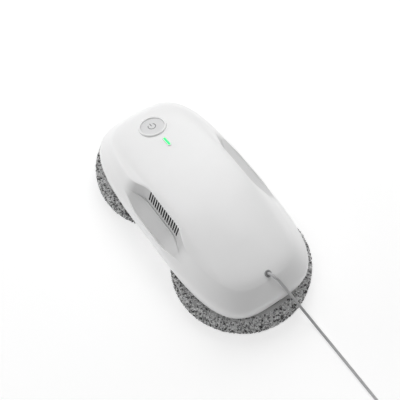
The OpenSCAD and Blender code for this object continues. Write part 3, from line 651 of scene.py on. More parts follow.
@dataclass
class HousingShell:
    """The upper moulding with its grip pockets, air slots and the openings in its deck."""

    skin: HousingSkin
    wall: float = 2.4
    sub_levels: int = 4
    slot_count: int = 15
    slot_pitch: float = 3.6
    slot_w: float = 2.1
    slot_shift: float = 3.6
    slot_corner: int = 6
    # these set where the painted shade in the grip pockets reaches and how it fades out
    pocket_levels: tuple[float, float] = (4.5, 9.5)
    fade: float = 0.3
    fade_levels: float = 0.5
    floor_share: float = 0.8
    slot_foot: float = 1.6
    slot_over: float = 0.6
    crease_share: float = 0.58
    edge_share: float = 0.825
    button_x: float = 90.3
    button_hole_r: float = 15.6
    button_reach: float = 15.5
    light_x: float = 62.0
    light_hole: tuple[float, float] = (13.8, 4.5)
    light_reach: float = 5.75
    exit_x: float = 116.6
    exit_hole_r: float = 3.0
    exit_reach: float = 4.0
    hole_depth: float = 24.0
    hole_steps: int = 96
    light_cut: float = 8.0
    ring_merge: float = 1e-3
    smooth_angle: float = 24.0

    def rings(self) -> list[np.ndarray]:
        """Lists the rings from the middle of the inner skin over its edge to the outer middle.

        Returns:
            The rings, the first and the last flattened onto the middle line.
        """
        top = self.skin.top_level
        inner = [self.skin.ring(k, self.wall) for k in range(top, -1, -1)]
        outer = [self.skin.ring(k / self.sub_levels, 0) for k in range(top * self.sub_levels + 1)]
        first, last = inner[0].copy(), outer[-1].copy()
        first[:, 1] = 0
        last[:, 1] = 0
        return [first, *inner, *outer, last]

    def closed_skin(self) -> bmesh.types.BMesh:
        """Builds the uncut shell by extruding one ring from level to level.

        Returns:
            The closed mesh.
        """
        rings = self.rings()
        count = len(rings[0])
        bm = bmesh.new()
        edges = bmesh.ops.create_circle(bm, cap_ends=False, segments=count, radius=1)["verts"]
        loop = list(edges)
        for v, p in zip(loop, rings[0]):
            v.co = p
        rim = [bm.edges.get((loop[i], loop[(i + 1) % count])) for i in range(count)]
        for points in rings[1:]:
            grown = bmesh.ops.extrude_edge_only(bm, edges=rim)["geom"]
            fresh = {v for v in grown if isinstance(v, bmesh.types.BMVert)}
            loop = [next(e.other_vert(v) for e in v.link_edges if e.other_vert(v) in fresh) for v in loop]
            for v, p in zip(loop, points):
                v.co = p
            rim = [bm.edges.get((loop[i], loop[(i + 1) % count])) for i in range(count)]
        bmesh.ops.remove_doubles(bm, verts=bm.verts, dist=self.ring_merge)
        bmesh.ops.dissolve_degenerate(bm, dist=MERGE, edges=bm.edges)
        bmesh.ops.recalc_face_normals(bm, faces=bm.faces)
        return bm

    def slot_cutters(self) -> bmesh.types.BMesh:
        """Builds the bars that cut the air slots of both pocket walls.

        Returns:
            The bars as one mesh.
        """
        low = self.skin.skirt_z + self.crease_share * self.skin.height + self.slot_foot
        high = self.skin.skirt_z + self.edge_share * self.skin.height + self.slot_over
        cutters = bmesh.new()
        for side in (-1, 1):
            for i in range(self.slot_count):
                bar = Shop.stadium(high - low, self.slot_w, 0, self.skin.half_w / 3, self.slot_corner)
                x = (i - (self.slot_count - 1) / 2) * self.slot_pitch + self.slot_shift
                place = (Matrix.Translation((x, side * self.skin.half_w / 2, (low + high) / 2))
                    @ Matrix.Rotation(-side * math.pi / 2, 4, "X")
                    @ Matrix.Rotation(math.pi / 2, 4, "Z"))
                bmesh.ops.transform(bar, matrix=place, verts=bar.verts)
                Shop.join(cutters, bar)
        return cutters

    def cutters(self) -> bmesh.types.BMesh:
        """Builds everything that is cut from the shell.

        Returns:
            The bars of the slots and the openings in the deck as one mesh.
        """
        cutters = self.slot_cutters()
        for x, reach, radius in ((-self.button_x, self.button_reach, self.button_hole_r),
                                 (self.exit_x, self.exit_reach, self.exit_hole_r)):
            hole = bmesh.new()
            bmesh.ops.create_cone(hole, cap_ends=True, segments=self.hole_steps, radius1=radius,
                radius2=radius, depth=self.hole_depth)
            bmesh.ops.transform(hole, matrix=self.skin.seat(x, reach), verts=hole.verts)
            Shop.join(cutters, hole)
        light = Shop.stadium(*self.light_hole, -self.light_cut, self.light_cut)
        bmesh.ops.transform(light, matrix=self.skin.seat(-self.light_x, self.light_reach),
            verts=light.verts)
        Shop.join(cutters, light)
        bmesh.ops.recalc_face_normals(cutters, faces=cutters.faces)
        return cutters

    def mark_painted_pocket_shade(self, mesh: bpy.types.Mesh) -> None:
        """Marks how far each point of the shell lies in a grip pocket, as the mask of the painted shade
        there.

        Args:
            mesh: the cut shell in millimetres.
        """
        skin, low, high = self.skin, self.pocket_levels[0], self.pocket_levels[1]
        levels = [k / self.sub_levels for k in range(skin.top_level * self.sub_levels + 1)]
        rings = [skin.ring(level, 0) for level in levels]
        tree = KDTree(len(rings) * len(rings[0]))
        shares = []
        for level, ring in zip(levels, rings):
            inside = max(0.0, min(1.0, (level - low) / self.fade_levels, (high - level) / self.fade_levels))
            inside *= 1.0 if level > skin.wall_level else self.floor_share
            weight = np.clip(skin.pocket_weight(ring[:, 0]) / self.fade, 0, 1)
            for point, share in zip(ring, inside * weight):
                tree.insert(point, len(shares))
                shares.append(share)
        tree.balance()
        marks = [shares[tree.find(v.co)[1]] for v in mesh.vertices]
        mesh.attributes.new("painted_pocket_shade", "FLOAT", "POINT").data.foreach_set("value", marks)

    def build(self) -> bpy.types.Object:
        """Builds the shell with its openings cut.

        Returns:
            The finished piece.
        """
        blanks = []
        for name, bm in (("shell", self.closed_skin()), ("cutters", self.cutters())):
            mesh = Shop.mesh(name, bm)
            mesh.materials.append((WHITE if name == "shell" else SLOT).material())
            blanks.append(Shop.place(name, mesh))
        body, tool = blanks
        cut = body.modifiers.new("openings", "BOOLEAN")
        cut.operation, cut.solver, cut.object = "DIFFERENCE", "EXACT", tool
        # the cut faces take the cutters' near-black finish, a painted shadow in the slots and holes
        cut.material_mode = "TRANSFER"
        held = body.evaluated_get(bpy.context.evaluated_depsgraph_get())
        done = bpy.data.meshes.new_from_object(held)
        bpy.data.objects.remove(body)
        bpy.data.objects.remove(tool)
        self.mark_painted_pocket_shade(done)
        done.transform(Matrix.Scale(MM, 4))
        return Shop.dress("housing_shell", done, None, "housing", "white_housing", "top_shell",
            angle=self.smooth_angle)


@dataclass
class PowerButton:
    """The dished cap with its symbol, in a raised ring on the deck."""

    seat: Matrix
    cap_r: float = 12.75
    gap: float = 0.25
    ring_w: float = 2.5
    ring_high: float = 1.5
    ring_low: float = -5.0
    crown: float = 0.35
    dish: float = 0.9
    edge: float = 0.5
    flange_r: float = 14.05
    flange_high: float = -2.9
    flange_low: float = -4.1
    shoulder: float = -2.6
    symbol_r: float = 4.1
    symbol_x: float = -1.4
    stroke: float = 0.9
    symbol_t: float = 0.1
    symbol_gap: float = 96.0
    bar_share: float = 1.1
    bar_place_share: float = 0.62
    symbol_steps: int = 48
    tip_steps: int = 16
    dish_steps: int = 10
    turn_steps: int = 128
    round_in: float = 0.7
    round_out: float = 1.2
    foot_t: float = 1.0
    foot_w: float = 1.5
    flange_gap: float = 0.3

    def cap_height(self, r: float) -> float:
        """Returns the height of the dished cap at a radius."""
        return self.crown - self.dish * (1 - min(1.0, r / (self.cap_r - self.edge)) ** 2)

    def build_cap(self) -> bpy.types.Object:
        """Builds the cap with its dish and its flange.

        Returns:
            The finished piece.
        """
        rim = self.cap_r - self.edge
        steps = [rim * i / self.dish_steps for i in range(self.dish_steps + 1)]
        dish = [(r, self.cap_height(r)) for r in steps]
        profile = dish + Shop.arc((rim, self.crown - self.edge), self.edge, 80, 0, 4)
        profile += [(self.cap_r, self.flange_high), (self.flange_r, self.flange_high),
            (self.flange_r, self.flange_low), (0, self.flange_low)]
        return Shop.piece("button_cap", Shop.lathe(profile, self.turn_steps), CAP_GREY, "button",
            "button_cap", "power_button", seat=self.seat, angle=40)

    def build_symbol(self) -> bpy.types.Object:
        """Builds the symbol as a thin raised line that follows the dish.

        Returns:
            The finished piece.
        """
        bm = bmesh.new()
        half = self.stroke / 2
        corners = [(self.symbol_r - half, 0), (self.symbol_r + half, 0),
            (self.symbol_r + half, 1), (self.symbol_r - half, 1)]
        start = [bm.verts.new((r, 0, z)) for r, z in corners]
        face = bm.faces.new(start)
        turn = Matrix.Rotation(math.radians(180 + self.symbol_gap / 2), 4, "Z")
        bmesh.ops.transform(bm, matrix=turn, verts=start)
        bmesh.ops.spin(bm, geom=[face, *face.edges, *start], cent=(0, 0, 0), axis=(0, 0, 1),
            angle=math.radians(360 - self.symbol_gap), steps=self.symbol_steps)
        bar = Shop.stadium(self.symbol_r * self.bar_share, self.stroke, 0, 1, 5)
        bmesh.ops.translate(bar, vec=(-self.symbol_r * self.bar_place_share, 0, 0), verts=bar.verts)
        Shop.join(bm, bar)
        for side in (1, -1):
            end = math.radians(180 + side * self.symbol_gap / 2)
            tip = bmesh.new()
            bmesh.ops.create_cone(tip, cap_ends=True, segments=self.tip_steps, radius1=half,
                radius2=half, depth=1)
            bmesh.ops.translate(tip, verts=tip.verts,
                vec=(self.symbol_r * math.cos(end), self.symbol_r * math.sin(end), 0.5))
            Shop.join(bm, tip)
        bmesh.ops.translate(bm, vec=(self.symbol_x, 0, 0), verts=bm.verts)
        for v in bm.verts:
            rise = self.symbol_t if v.co.z > 0.5 else -self.symbol_t
            v.co.z = self.cap_height(v.co.xy.length) + rise
        bmesh.ops.recalc_face_normals(bm, faces=bm.faces)
        return Shop.piece("button_symbol", bm, SYMBOL, "button", "button_cap", seat=self.seat)

    def build_ring(self) -> bpy.types.Object:
        """Builds the raised ring round the cap.

        Returns:
            The finished piece.
        """
        bore = self.cap_r + self.gap
        outer = bore + self.ring_w
        foot_r = outer + self.foot_w
        foot_top = self.ring_low + self.foot_t
        well_r = self.flange_r + self.flange_gap
        profile = [(bore, self.shoulder)]
        profile += Shop.arc((bore + self.round_in, self.ring_high - self.round_in), self.round_in,
            180, 90, 6)
        profile += Shop.arc((outer - self.round_out, self.ring_high - self.round_out), self.round_out,
            90, 0, 8)
        profile += [(outer, foot_top), (foot_r, foot_top), (foot_r, self.ring_low),
            (well_r, self.ring_low), (well_r, self.shoulder), (bore, self.shoulder)]
        return Shop.piece("button_surround", Shop.lathe(profile, self.turn_steps), WHITE_GLOSS,
            "housing", "white_housing", "button_ring", seat=self.seat, angle=40)

    def build(self) -> None:
        """Builds the ring, the cap and its symbol."""
        self.build_ring()
        self.build_cap()
        self.build_symbol()


@dataclass
class StatusLight:
    """The green light bar in its raised bezel."""

    seat: Matrix
    length: float = 11.5
    width: float = 2.2
    lens_high: float = 0.75
    low: float = -0.1
    recess_z: float = -0.2
    bezel_low: float = -6.8
    bezel_high: float = 1.3
    bezel_w: float = 0.95
    shoulder_r: float = 0.3
    lens_r: float = 0.3
    play: float = 0.1
    sharpest: float = 0.8

    def build_lens(self) -> bpy.types.Object:
        """Builds the glowing lens with a rounded top edge.

        Returns:
            The finished piece.
        """
        bm = Shop.stadium(self.length, self.width, self.low, self.lens_high, 12)
        rim = [e for e in bm.edges if min(v.co.z for v in e.verts) > self.lens_high - MERGE]
        bmesh.ops.bevel(bm, geom=rim, offset=self.lens_r, offset_type="OFFSET", affect="EDGES",
            segments=3, profile=0.5, material=-1)
        return Shop.piece("light_lens", bm, GLOW, "housing", "light_lens", "status_lens",
            seat=self.seat, angle=50)

    def build_bezel(self) -> bpy.types.Object:
        """Builds the raised bezel with rounded shoulders and the sunken seat that holds the lens.

        Returns:
            The finished piece.
        """
        outer_l = self.length + 2 * (self.bezel_w + self.play)
        outer_w = self.width + 2 * (self.bezel_w + self.play)
        bm = Shop.stadium(outer_l, outer_w, self.bezel_low, self.bezel_high, 12)
        top = max(bm.faces, key=lambda f: f.calc_center_median().z)
        bmesh.ops.inset_region(bm, faces=[top], thickness=self.bezel_w, use_even_offset=True)
        inner = bmesh.ops.extrude_face_region(bm, geom=[top])["geom"]
        bmesh.ops.translate(bm, vec=(0, 0, self.recess_z - self.bezel_high),
            verts=[g for g in inner if isinstance(g, bmesh.types.BMVert)])
        bmesh.ops.delete(bm, geom=[top], context="FACES_ONLY")
        bmesh.ops.recalc_face_normals(bm, faces=bm.faces)
        shoulder = [e for e in bm.edges if e.calc_face_angle(0) > self.sharpest
            and min(v.co.z for v in e.verts) > self.bezel_high - MERGE]
        bmesh.ops.bevel(bm, geom=shoulder, offset=self.shoulder_r, offset_type="OFFSET",
            affect="EDGES", segments=3, profile=0.5, material=-1)
        return Shop.piece("light_bezel", bm, WHITE_GLOSS, "housing", "white_housing", "status_bezel",
            seat=self.seat, angle=50)

    def build(self) -> None:
        """Builds the lens and the bezel."""
        self.build_bezel()
        self.build_lens()


@dataclass
class PilePad:
    """A cleaning pad of curly microfibre loops on a stuffed sole that wraps the disc."""

    name: str
    body: str
    centre_x: float
    seed: int
    outer_r: float = 72.6
    bore_r: float = 34.2
    lip_r: float = 58.6
    sole_z: float = 2.1
    sole_top: float = 14.7
    cuff_in_r: float = 70.7
    cuff_top: float = 22.4
    lip_low: float = 20.5
    edge_r: float = 5.2
    cuff_r: float = 2.2
    bore_edge_r: float = 1.6
    cuff_reach: float = 9.0
    bore_steps: int = 4
    low_steps: int = 8
    top_steps: int = 5
    turn_steps: int = 144
    core_tone: float = 0.5
    # share of the tone left at each curl's root: painted shade among the loops
    root_shade: float = 0.7
    tone_bends: tuple[float, float] = (0.55, 0.36)
    yarn_r: float = 0.46
    yarn_path: tuple = ((0.0, 0.0, -0.3), (0.25, 0.2, 0.8), (-0.15, 0.6, 1.3), (-0.75, 0.2, 1.1),
        (-0.5, -0.4, 0.5))
    yarn_twist: float = 0.9
    curl_scale: float = 1.25
    side_pitch: float = 1.4
    sole_pitch: float = 2.3
    pile_h: float = 2.4
    tuft_w: float = 0.95
    pile_low: float = 0.15
    pile_top: float = 23.6
    sole_share: float = 0.8
    cuff_share: float = 0.55
    cuff_lean: float = 0.05
    sole_lean: float = 0.5
    least_height_share: float = 0.72
    lean_spread: float = 0.33
    width_range: tuple[float, float] = (0.75, 1.15)
    fill: float = 0.8

    def profile(self) -> list[tuple[float, float]]:
        """Draws the section of the stuffed core.

        Returns:
            The closed line of radius and height.
        """
        low = Shop.arc((self.outer_r - self.edge_r, self.sole_z + self.edge_r), self.edge_r,
            -90, 0, self.low_steps)
        top = Shop.arc((self.outer_r - self.cuff_r, self.cuff_top - self.cuff_r), self.cuff_r,
            0, 90, self.top_steps)
        bore = Shop.arc((self.bore_r + self.bore_edge_r, self.sole_z + self.bore_edge_r),
            self.bore_edge_r, 180, 270, self.bore_steps)
        return [*bore, *low, *top, (self.lip_r, self.cuff_top), (self.lip_r, self.lip_low),
            (self.cuff_in_r, self.lip_low), (self.cuff_in_r, self.sole_top),
            (self.bore_r, self.sole_top), bore[0]]

    def core(self) -> bpy.types.Mesh:
        """Builds the stuffed core in a middle yarn tone.

        Returns:
            The mesh in millimetres, about its own axis.
        """
        bm = Shop.lathe(self.profile(), self.turn_steps)
        tone = bm.verts.layers.float.new("yarn_tone")
        for v in bm.verts:
            v[tone] = self.core_tone
        return Shop.mesh(self.name + "_core", bm)

    def loop_template(self) -> bpy.types.Mesh:
        """Builds one curl of yarn, about a millimetre high, with its foot at the origin.

        Returns:
            The mesh, of triangles alone.
        """
        bm = bmesh.new()
        section = bmesh.ops.create_circle(bm, cap_ends=False, segments=3, radius=self.yarn_r)["verts"]
        rim = list(bm.edges)
        bmesh.ops.translate(bm, vec=self.yarn_path[0], verts=section)
        for a, b in zip(self.yarn_path, self.yarn_path[1:]):
            grown = bmesh.ops.extrude_edge_only(bm, edges=rim)["geom"]
            fresh = [g for g in grown if isinstance(g, bmesh.types.BMVert)]
            rim = [g for g in grown if isinstance(g, bmesh.types.BMEdge)
                and all(v in fresh for v in g.verts)]
            bmesh.ops.translate(bm, vec=Vector(b) - Vector(a), verts=fresh)
            turn = Matrix.Rotation(self.yarn_twist, 4, Vector(b).cross(Vector(a)).normalized())
            bmesh.ops.rotate(bm, cent=b, matrix=turn.to_3x3(), verts=fresh)
        bmesh.ops.holes_fill(bm, edges=rim, sides=0)
        bmesh.ops.scale(bm, vec=(self.curl_scale, self.curl_scale, 1), verts=bm.verts)
        bmesh.ops.recalc_face_normals(bm, faces=bm.faces)
        bmesh.ops.triangulate(bm, faces=bm.faces)
        return Shop.mesh("curl", bm)

    def seats(self) -> tuple[np.ndarray, np.ndarray, np.ndarray]:
        """Scatters the feet of the curls over the sole, the side and the cuff.

        Returns:
            The feet, the outward directions and the pile heights.
        """
        rng = np.random.default_rng(self.seed)
        line = np.array(self.profile())
        top_stop = sum(steps + 1 for steps in (self.bore_steps, self.low_steps, self.top_steps))
        line = np.vstack([line[:top_stop], [self.outer_r - self.cuff_reach, self.cuff_top]])
        feet, ways, heights = [], [], []
        for a, b in zip(line, line[1:]):
            step = np.linalg.norm(b - a)
            if step < TINY:
                continue
            along = (b - a) / step
            out = np.array([along[1], -along[0]])
            sole, cuff = out[1] < -self.sole_lean, out[1] > self.cuff_lean
            pitch = self.sole_pitch if sole else self.side_pitch
            area = math.pi * (a[0] + b[0]) * step
            count = int(area / pitch**2)
            s = rng.random(count)
            r = a[0] + (b[0] - a[0]) * s
            z = a[1] + (b[1] - a[1]) * s
            turn = (np.arange(count) + rng.random(count)) / count * math.tau
            turn = rng.permutation(turn)
            feet.append(np.stack([r * np.cos(turn), r * np.sin(turn), z], 1))
            ways.append(np.stack([out[0] * np.cos(turn), out[0] * np.sin(turn),
                out[1] * np.ones(count)], 1))
            room = self.pile_h * (self.sole_share if sole else self.cuff_share if cuff else 1.0)
            heights.append(room * rng.uniform(self.least_height_share, 1.0, count))
        return np.vstack(feet), np.vstack(ways), np.concatenate(heights)

    def pile(self) -> bpy.types.Mesh:
        """Repeats the curl over the pad, each turned, leaned, sized and toned by chance, with painted shade
        at its root.

        Returns:
            The mesh in millimetres, about the pad's axis.
        """
        curl = self.loop_template()
        shape = np.empty(len(curl.vertices) * 3, np.float32)
        curl.vertices.foreach_get("co", shape)
        shape = shape.reshape(-1, 3)
        faces = np.array([p.vertices[:] for p in curl.polygons], np.int32)
        bpy.data.meshes.remove(curl)
        feet, out, heights = self.seats()
        rng = np.random.default_rng(self.seed + 1)
        count = len(feet)
        lean = out + rng.normal(0, self.lean_spread, (count, 3))
        lean /= np.linalg.norm(lean, axis=1, keepdims=True)
        side = np.cross(lean, rng.normal(0, 1, (count, 3)))
        side /= np.linalg.norm(side, axis=1, keepdims=True)
        other = np.cross(lean, side)
        width = rng.uniform(*self.width_range, count)[:, None, None]
        rise = (heights / shape[:, 2].max())[:, None, None]
        points = (feet[:, None, :] + width * (side[:, None, :] * shape[None, :, :1]
            + other[:, None, :] * shape[None, :, 1:2]) + rise * lean[:, None, :] * shape[None, :, 2:])
        points[:, :, 2] = np.clip(points[:, :, 2], self.pile_low, self.pile_top)
        mesh = bpy.data.meshes.new(self.name + "_pile")
        index = (faces[None] + (np.arange(count) * len(shape))[:, None, None]).reshape(-1, 3)
        mesh.vertices.add(count * len(shape))
        mesh.vertices.foreach_set("co", points.astype(np.float32).ravel())
        mesh.loops.add(index.size)
        mesh.loops.foreach_set("vertex_index", index.ravel())
        mesh.polygons.add(len(index))
        mesh.polygons.foreach_set("loop_start", np.arange(0, index.size, 3, dtype=np.int32))
        mesh.update(calc_edges=True)
        mesh.validate()
        tone = mesh.attributes.new("yarn_tone", "FLOAT", "POINT")
        cells, tuft = np.unique(np.floor(feet / self.tuft_w).astype(int), axis=0, return_inverse=True)
        shade = rng.beta(*self.tone_bends, len(cells))[tuft.ravel()]
        # painted shade: each curl's tone darkens towards its root, where shade falls among the loops
        rising = np.clip(shape[:, 2] / shape[:, 2].max(), 0, 1)
        depth = self.root_shade + (1 - self.root_shade) * rising
        tone.data.foreach_set("value", (shade[:, None] * depth[None]).astype(np.float32).ravel())
        return mesh

    def build(self) -> bpy.types.Object:
        """Builds the pad as one padded piece in place of its CAD solid.

        Returns:
            The finished piece.
        """
        bm = bmesh.new()
        for mesh in (self.core(), self.pile()):
            bm.from_mesh(mesh)
            bpy.data.meshes.remove(mesh)
        bmesh.ops.translate(bm, vec=(self.centre_x, 0, 0), verts=bm.verts)
        made = Shop.piece(self.name + "_pile", bm, PILE, self.body, "microfibre", self.name, angle=80)
        return made


@dataclass
class LeadConnector:
    """The moulded connector at the end of the lead, drawn along the Z axis from the lead."""

    seat: Matrix
    turn_steps: int = 48
    boot_rings: int = 5
    boot_r: float = 2.45
    boot_start_r: float = 2.4
    boot_growth: float = 0.23
    boot_z: float = 1.2
    boot_pitch: float = 2.1
    boot_ring: tuple = ((0, 0), (0.1, 1.2), (-0.35, 1.25), (-0.3, 2.05))
    neck_r: float = 3.6
    neck_z: float = 12.0
    neck_round: tuple[float, float] = (4.4, 14.6)
    collar: tuple[float, float] = (5.3, 16.2)
    grip_rings: int = 6
    grip_r: float = 5.6
    grip_z: float = 17.0
    grip_pitch: float = 2.0
    grip_ring: tuple = ((0, 0), (0, 1.1), (-0.25, 1.25), (-0.25, 1.85))
    grip_end: float = 29.6
    corner_r: float = 1.2
    nose_z: float = 32.0
    socket_z: float = 29.0
    socket_r: float = 2.45
    barrel_r: float = 2.75
    barrel_z: float = 41.5
    barrel_edge: float = 0.4
    mark_z: float = 39.0
    mark_depth: float = 0.15
    bore_r: float = 1.05
    bore_lip: float = 0.35
    bore_z: float = 33.9

    def boot(self) -> list[tuple[float, float]]:
        """Draws the ringed bend relief.

        Returns:
            The line of radius and height, from the axis on.
        """
        line = [(0, 0), (self.boot_start_r, 0)]
        for i in range(self.boot_rings):
            r, z = self.boot_r + self.boot_growth * i, self.boot_z + self.boot_pitch * i
            line += [(r + wider, z + further) for wider, further in self.boot_ring]
        return line

    def grip(self) -> list[tuple[float, float]]:
        """Draws the neck and the ribbed grip.

        Returns:
            The line of radius and height.
        """
        line = [(self.neck_r, self.neck_z), *Shop.arc(self.neck_round, self.corner_r, 180, 90, 4),
            self.collar]
        for i in range(self.grip_rings):
            z = self.grip_z + self.grip_pitch * i
            line += [(self.grip_r + wider, z + further) for wider, further in self.grip_ring]
        return line

    def build_body(self) -> bpy.types.Object:
        """Builds the moulded connector body with its grip rings and bend relief.

        Returns:
            The finished piece.
        """
        centre = (self.grip_r - self.corner_r, self.nose_z - self.corner_r)
        nose = [(self.grip_r, self.grip_end), *Shop.arc(centre, self.corner_r, 0, 90, 4),
            (self.socket_r, self.nose_z), (self.socket_r, self.socket_z), (0, self.socket_z)]
        bm = Shop.lathe(self.boot() + self.grip() + nose, self.turn_steps)
        return Shop.piece("lead_connector", bm, CONNECTOR, "housing", "connector_black",
            "dc_connector", seat=self.seat)

    def build_barrel(self) -> bpy.types.Object:
        """Builds the hollow plug barrel with its insulating ring.

        Returns:
            The finished piece.
        """
        r, tip = self.barrel_r, self.barrel_edge
        profile = [(0, self.socket_z), (self.socket_r, self.socket_z), (self.socket_r, self.nose_z),
            (r, self.nose_z), (r, self.mark_z - tip), (r - self.mark_depth, self.mark_z),
            (r, self.mark_z + tip), *Shop.arc((r - tip, self.barrel_z - tip), tip, 0, 90, 3),
            (self.bore_r + self.bore_lip, self.barrel_z), (self.bore_r, self.barrel_z - tip),
            (self.bore_r, self.bore_z), (0, self.bore_z)]
        return Shop.piece("lead_barrel", Shop.lathe(profile, self.turn_steps), PLUG, "housing",
            "plug_metal", "dc_barrel", seat=self.seat)


@dataclass
class SupplyLead:
    """The free lead: out of the deck, over the end, along the floor and into its coil."""

    diameter: float = 3.2
    route: tuple = ((114.04, 0, 60.24), (115.32, 0, 62.38), (116.6, 0, 64.53), (117.8, 0.1, 66.2),
        (119.7, 0.5, 67.5), (121.9, 1.1, 68.1), (124.2, 1.9, 67.9), (126.3, 2.9, 66.9),
        (127.9, 4, 65.3), (129.2, 5, 62.8), (131, 6.3, 59), (133, 7.9, 54.4), (135, 9.6, 49.6),
        (136.9, 11.3, 44.6), (138.7, 13.2, 39.2), (140.8, 15.2, 33.4), (144.4, 17.4, 27.3),
        (149.2, 19.5, 21.2), (154.2, 21.6, 15.2), (159.8, 23.5, 9.8), (166, 25, 5.5),
        (173.4, 25.9, 2.8), (182, 26.3, 1.8), (192, 26.4, 1.7), (208, 26.4, 1.7),
        (224, 26.4, 1.7), (240, 26.4, 1.7), (256, 26.4, 1.7), (268, 26.4, 1.8),
        (278, 26.4, 2.05), (284, 26.4, 2.15))
    coil_centre: tuple[float, float] = (292.0, 1.2)
    coil_r: float = 25.2
    coil_z: float = 2.15
    coil_pitch: float = 3.65
    coil_loops: float = 6.375
    loop_rings: int = 48
    exit_point: tuple[float, float, float] = (116.6, 0.0, 64.53)
    length: float = 0.999
    curve_steps: int = 4
    bevel_steps: int = 4

    def coil_point(self, angle: float) -> Vector:
        """Works out one point on the centre line of the coil.

        Args:
            angle: the angle wound so far, in degrees.

        Returns:
            The point, in millimetres.
        """
        middle = self.coil_loops * 180
        wound = min(angle, 2 * middle - angle)
        r = self.coil_r - self.coil_pitch * wound / 360
        f = math.radians(90 - angle)
        rise = min(1.0, max(0.0, (angle - middle + 90) / 180))
        return Vector((self.coil_centre[0] + r * math.cos(f), self.coil_centre[1] + r * math.sin(f),
            self.coil_z + self.coil_pitch * rise))

    def path(self) -> list[Vector]:
        """Draws the whole centre line, the route on a smooth curve through its points.

        Returns:
            The points from inside the housing to the connector, in millimetres.
        """
        steps = int(self.coil_loops * self.loop_rings)
        coil = [self.coil_point(360 * s / self.loop_rings) for s in range(steps + 1)]
        heading = math.radians(-2 * self.coil_loops * 180)
        tail = coil[-1] + self.diameter * Vector((math.cos(heading), math.sin(heading), 0))
        knots = [Vector(p) for p in self.route] + [coil[0]]
        smooth = []
        for i in range(len(knots) - 1):
            before, a, b = knots[max(i - 1, 0)], knots[i], knots[i + 1]
            after = knots[i + 2] if i + 2 < len(knots) else coil[2]
            for s in range(self.curve_steps):
                t = s / self.curve_steps
                smooth.append(0.5 * (2 * a + (b - before) * t
                    + (2 * before - 5 * a + 4 * b - after) * t * t
                    + (3 * a - before - 3 * b + after) * t**3))
        return smooth + coil + [tail]

    def build_lead(self, pieces: list[bpy.types.Object]) -> bpy.types.Object:
        """Args:
            pieces: the separate pieces on it; not used.

        Returns:
            The curve.
        """
        points = self.path()
        curve = bpy.data.curves.new("supply_lead", "CURVE")
        curve.dimensions = "3D"
        curve.bevel_depth = self.diameter / 2 * MM
        curve.bevel_resolution = self.bevel_steps
        curve.use_fill_caps = True
        spline = curve.splines.new("POLY")
        spline.points.add(len(points) - 1)
        for knot, p in zip(spline.points, points):
            knot.co = (*(p * MM), 1)
        spline.use_smooth = True
        curve.materials.append(LEAD.material())
        lead = Shop.place("supply_lead", curve)
        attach(lead, "housing")
        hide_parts("supply_cord", "cord_coil")
        log.info("supply_lead: %d points", len(points))
        return lead

    def connector_frame(self) -> Matrix:
        """Works out the frame of the connector, at the end of the coil.

        Returns:
            The frame, in millimetres, with the Z axis along the connector.
        """
        turn = math.radians(-2 * self.coil_loops * 180)
        return (Matrix.Translation(self.path()[-1]) @ Matrix.Rotation(turn, 4, "Z")
            @ Matrix.Rotation(math.pi / 2, 4, "Y"))

    def build(self) -> None:
        """Builds the lead with its tie, connector and barrel."""
        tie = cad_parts["cord_tie"]
        Dresser.cad(tie, TIE, 0.0)
        connector = LeadConnector(self.connector_frame())
        self.build_lead([tie, connector.build_body(), connector.build_barrel()])


@dataclass
class ExitGrommet:
    """The soft eyelet in which the lead leaves the deck."""

    seat: Matrix
    bore_r: float = 2.0
    sleeve_r: float = 2.95
    collar_r: float = 3.8
    low: float = -3.5
    collar_z: float = 0.05
    high: float = 0.9
    mouth_r: float = 0.4
    turn_steps: int = 64
    collar_steps: int = 10

    def build(self) -> bpy.types.Object:
        """Builds the eyelet with a rounded collar.

        Returns:
            The finished piece.
        """
        r = (self.high - self.collar_z) / 2
        profile = [(self.bore_r, self.low), (self.sleeve_r, self.low), (self.sleeve_r, self.collar_z)]
        profile += Shop.arc((self.collar_r - r, self.collar_z + r), r, -90, 90, self.collar_steps)
        profile += Shop.arc((self.bore_r + self.mouth_r, self.high - self.mouth_r), self.mouth_r,
            90, 180, 4)
        profile += [(self.bore_r, self.low)]
        return Shop.piece("exit_grommet", Shop.lathe(profile, self.turn_steps), GROMMET, "housing",
            "lead_grey", "cord_grommet", seat=self.seat, angle=40)


class Dresser:
    """Puts finishes and softened edges on the CAD nodes that stay."""

    weld_reach = 1e-6
    edge_w = 0.2
    bevel_angle = 40.0
    split_angle = 35.0
    outside = ("base_shell", "front_disc", "rear_disc")

    @staticmethod
    def cad(node: bpy.types.Object, finish: Finish, edge: float) -> None:
        """Dresses one CAD node.

        Args:
            node: the node's object.
            finish: its finish.
            edge: the width of its softened edges in millimetres, or zero for none.
        """
        node.data.materials.clear()
        node.data.materials.append(finish.material())
        node.data.shade_smooth()
        weld = node.modifiers.new("weld", "WELD")
        weld.merge_threshold = Dresser.weld_reach
        if edge:
            soft = node.modifiers.new("soft_edges", "BEVEL")
            soft.width = edge * MM
            soft.segments = 2
            soft.limit_method = "ANGLE"
            soft.angle_limit = math.radians(Dresser.bevel_angle)
            soft.harden_normals = True
        else:
            split = node.modifiers.new("sharp_edges", "EDGE_SPLIT")
            split.split_angle = math.radians(Dresser.split_angle)

    def build(self) -> None:
        """Dresses every CAD node that has a finish of its own."""
        for name, finish in CAD_FINISHES.items():
            self.cad(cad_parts[name], finish, self.edge_w if name in self.outside else 0.0)
        log.info("%d CAD nodes dressed", len(CAD_FINISHES))


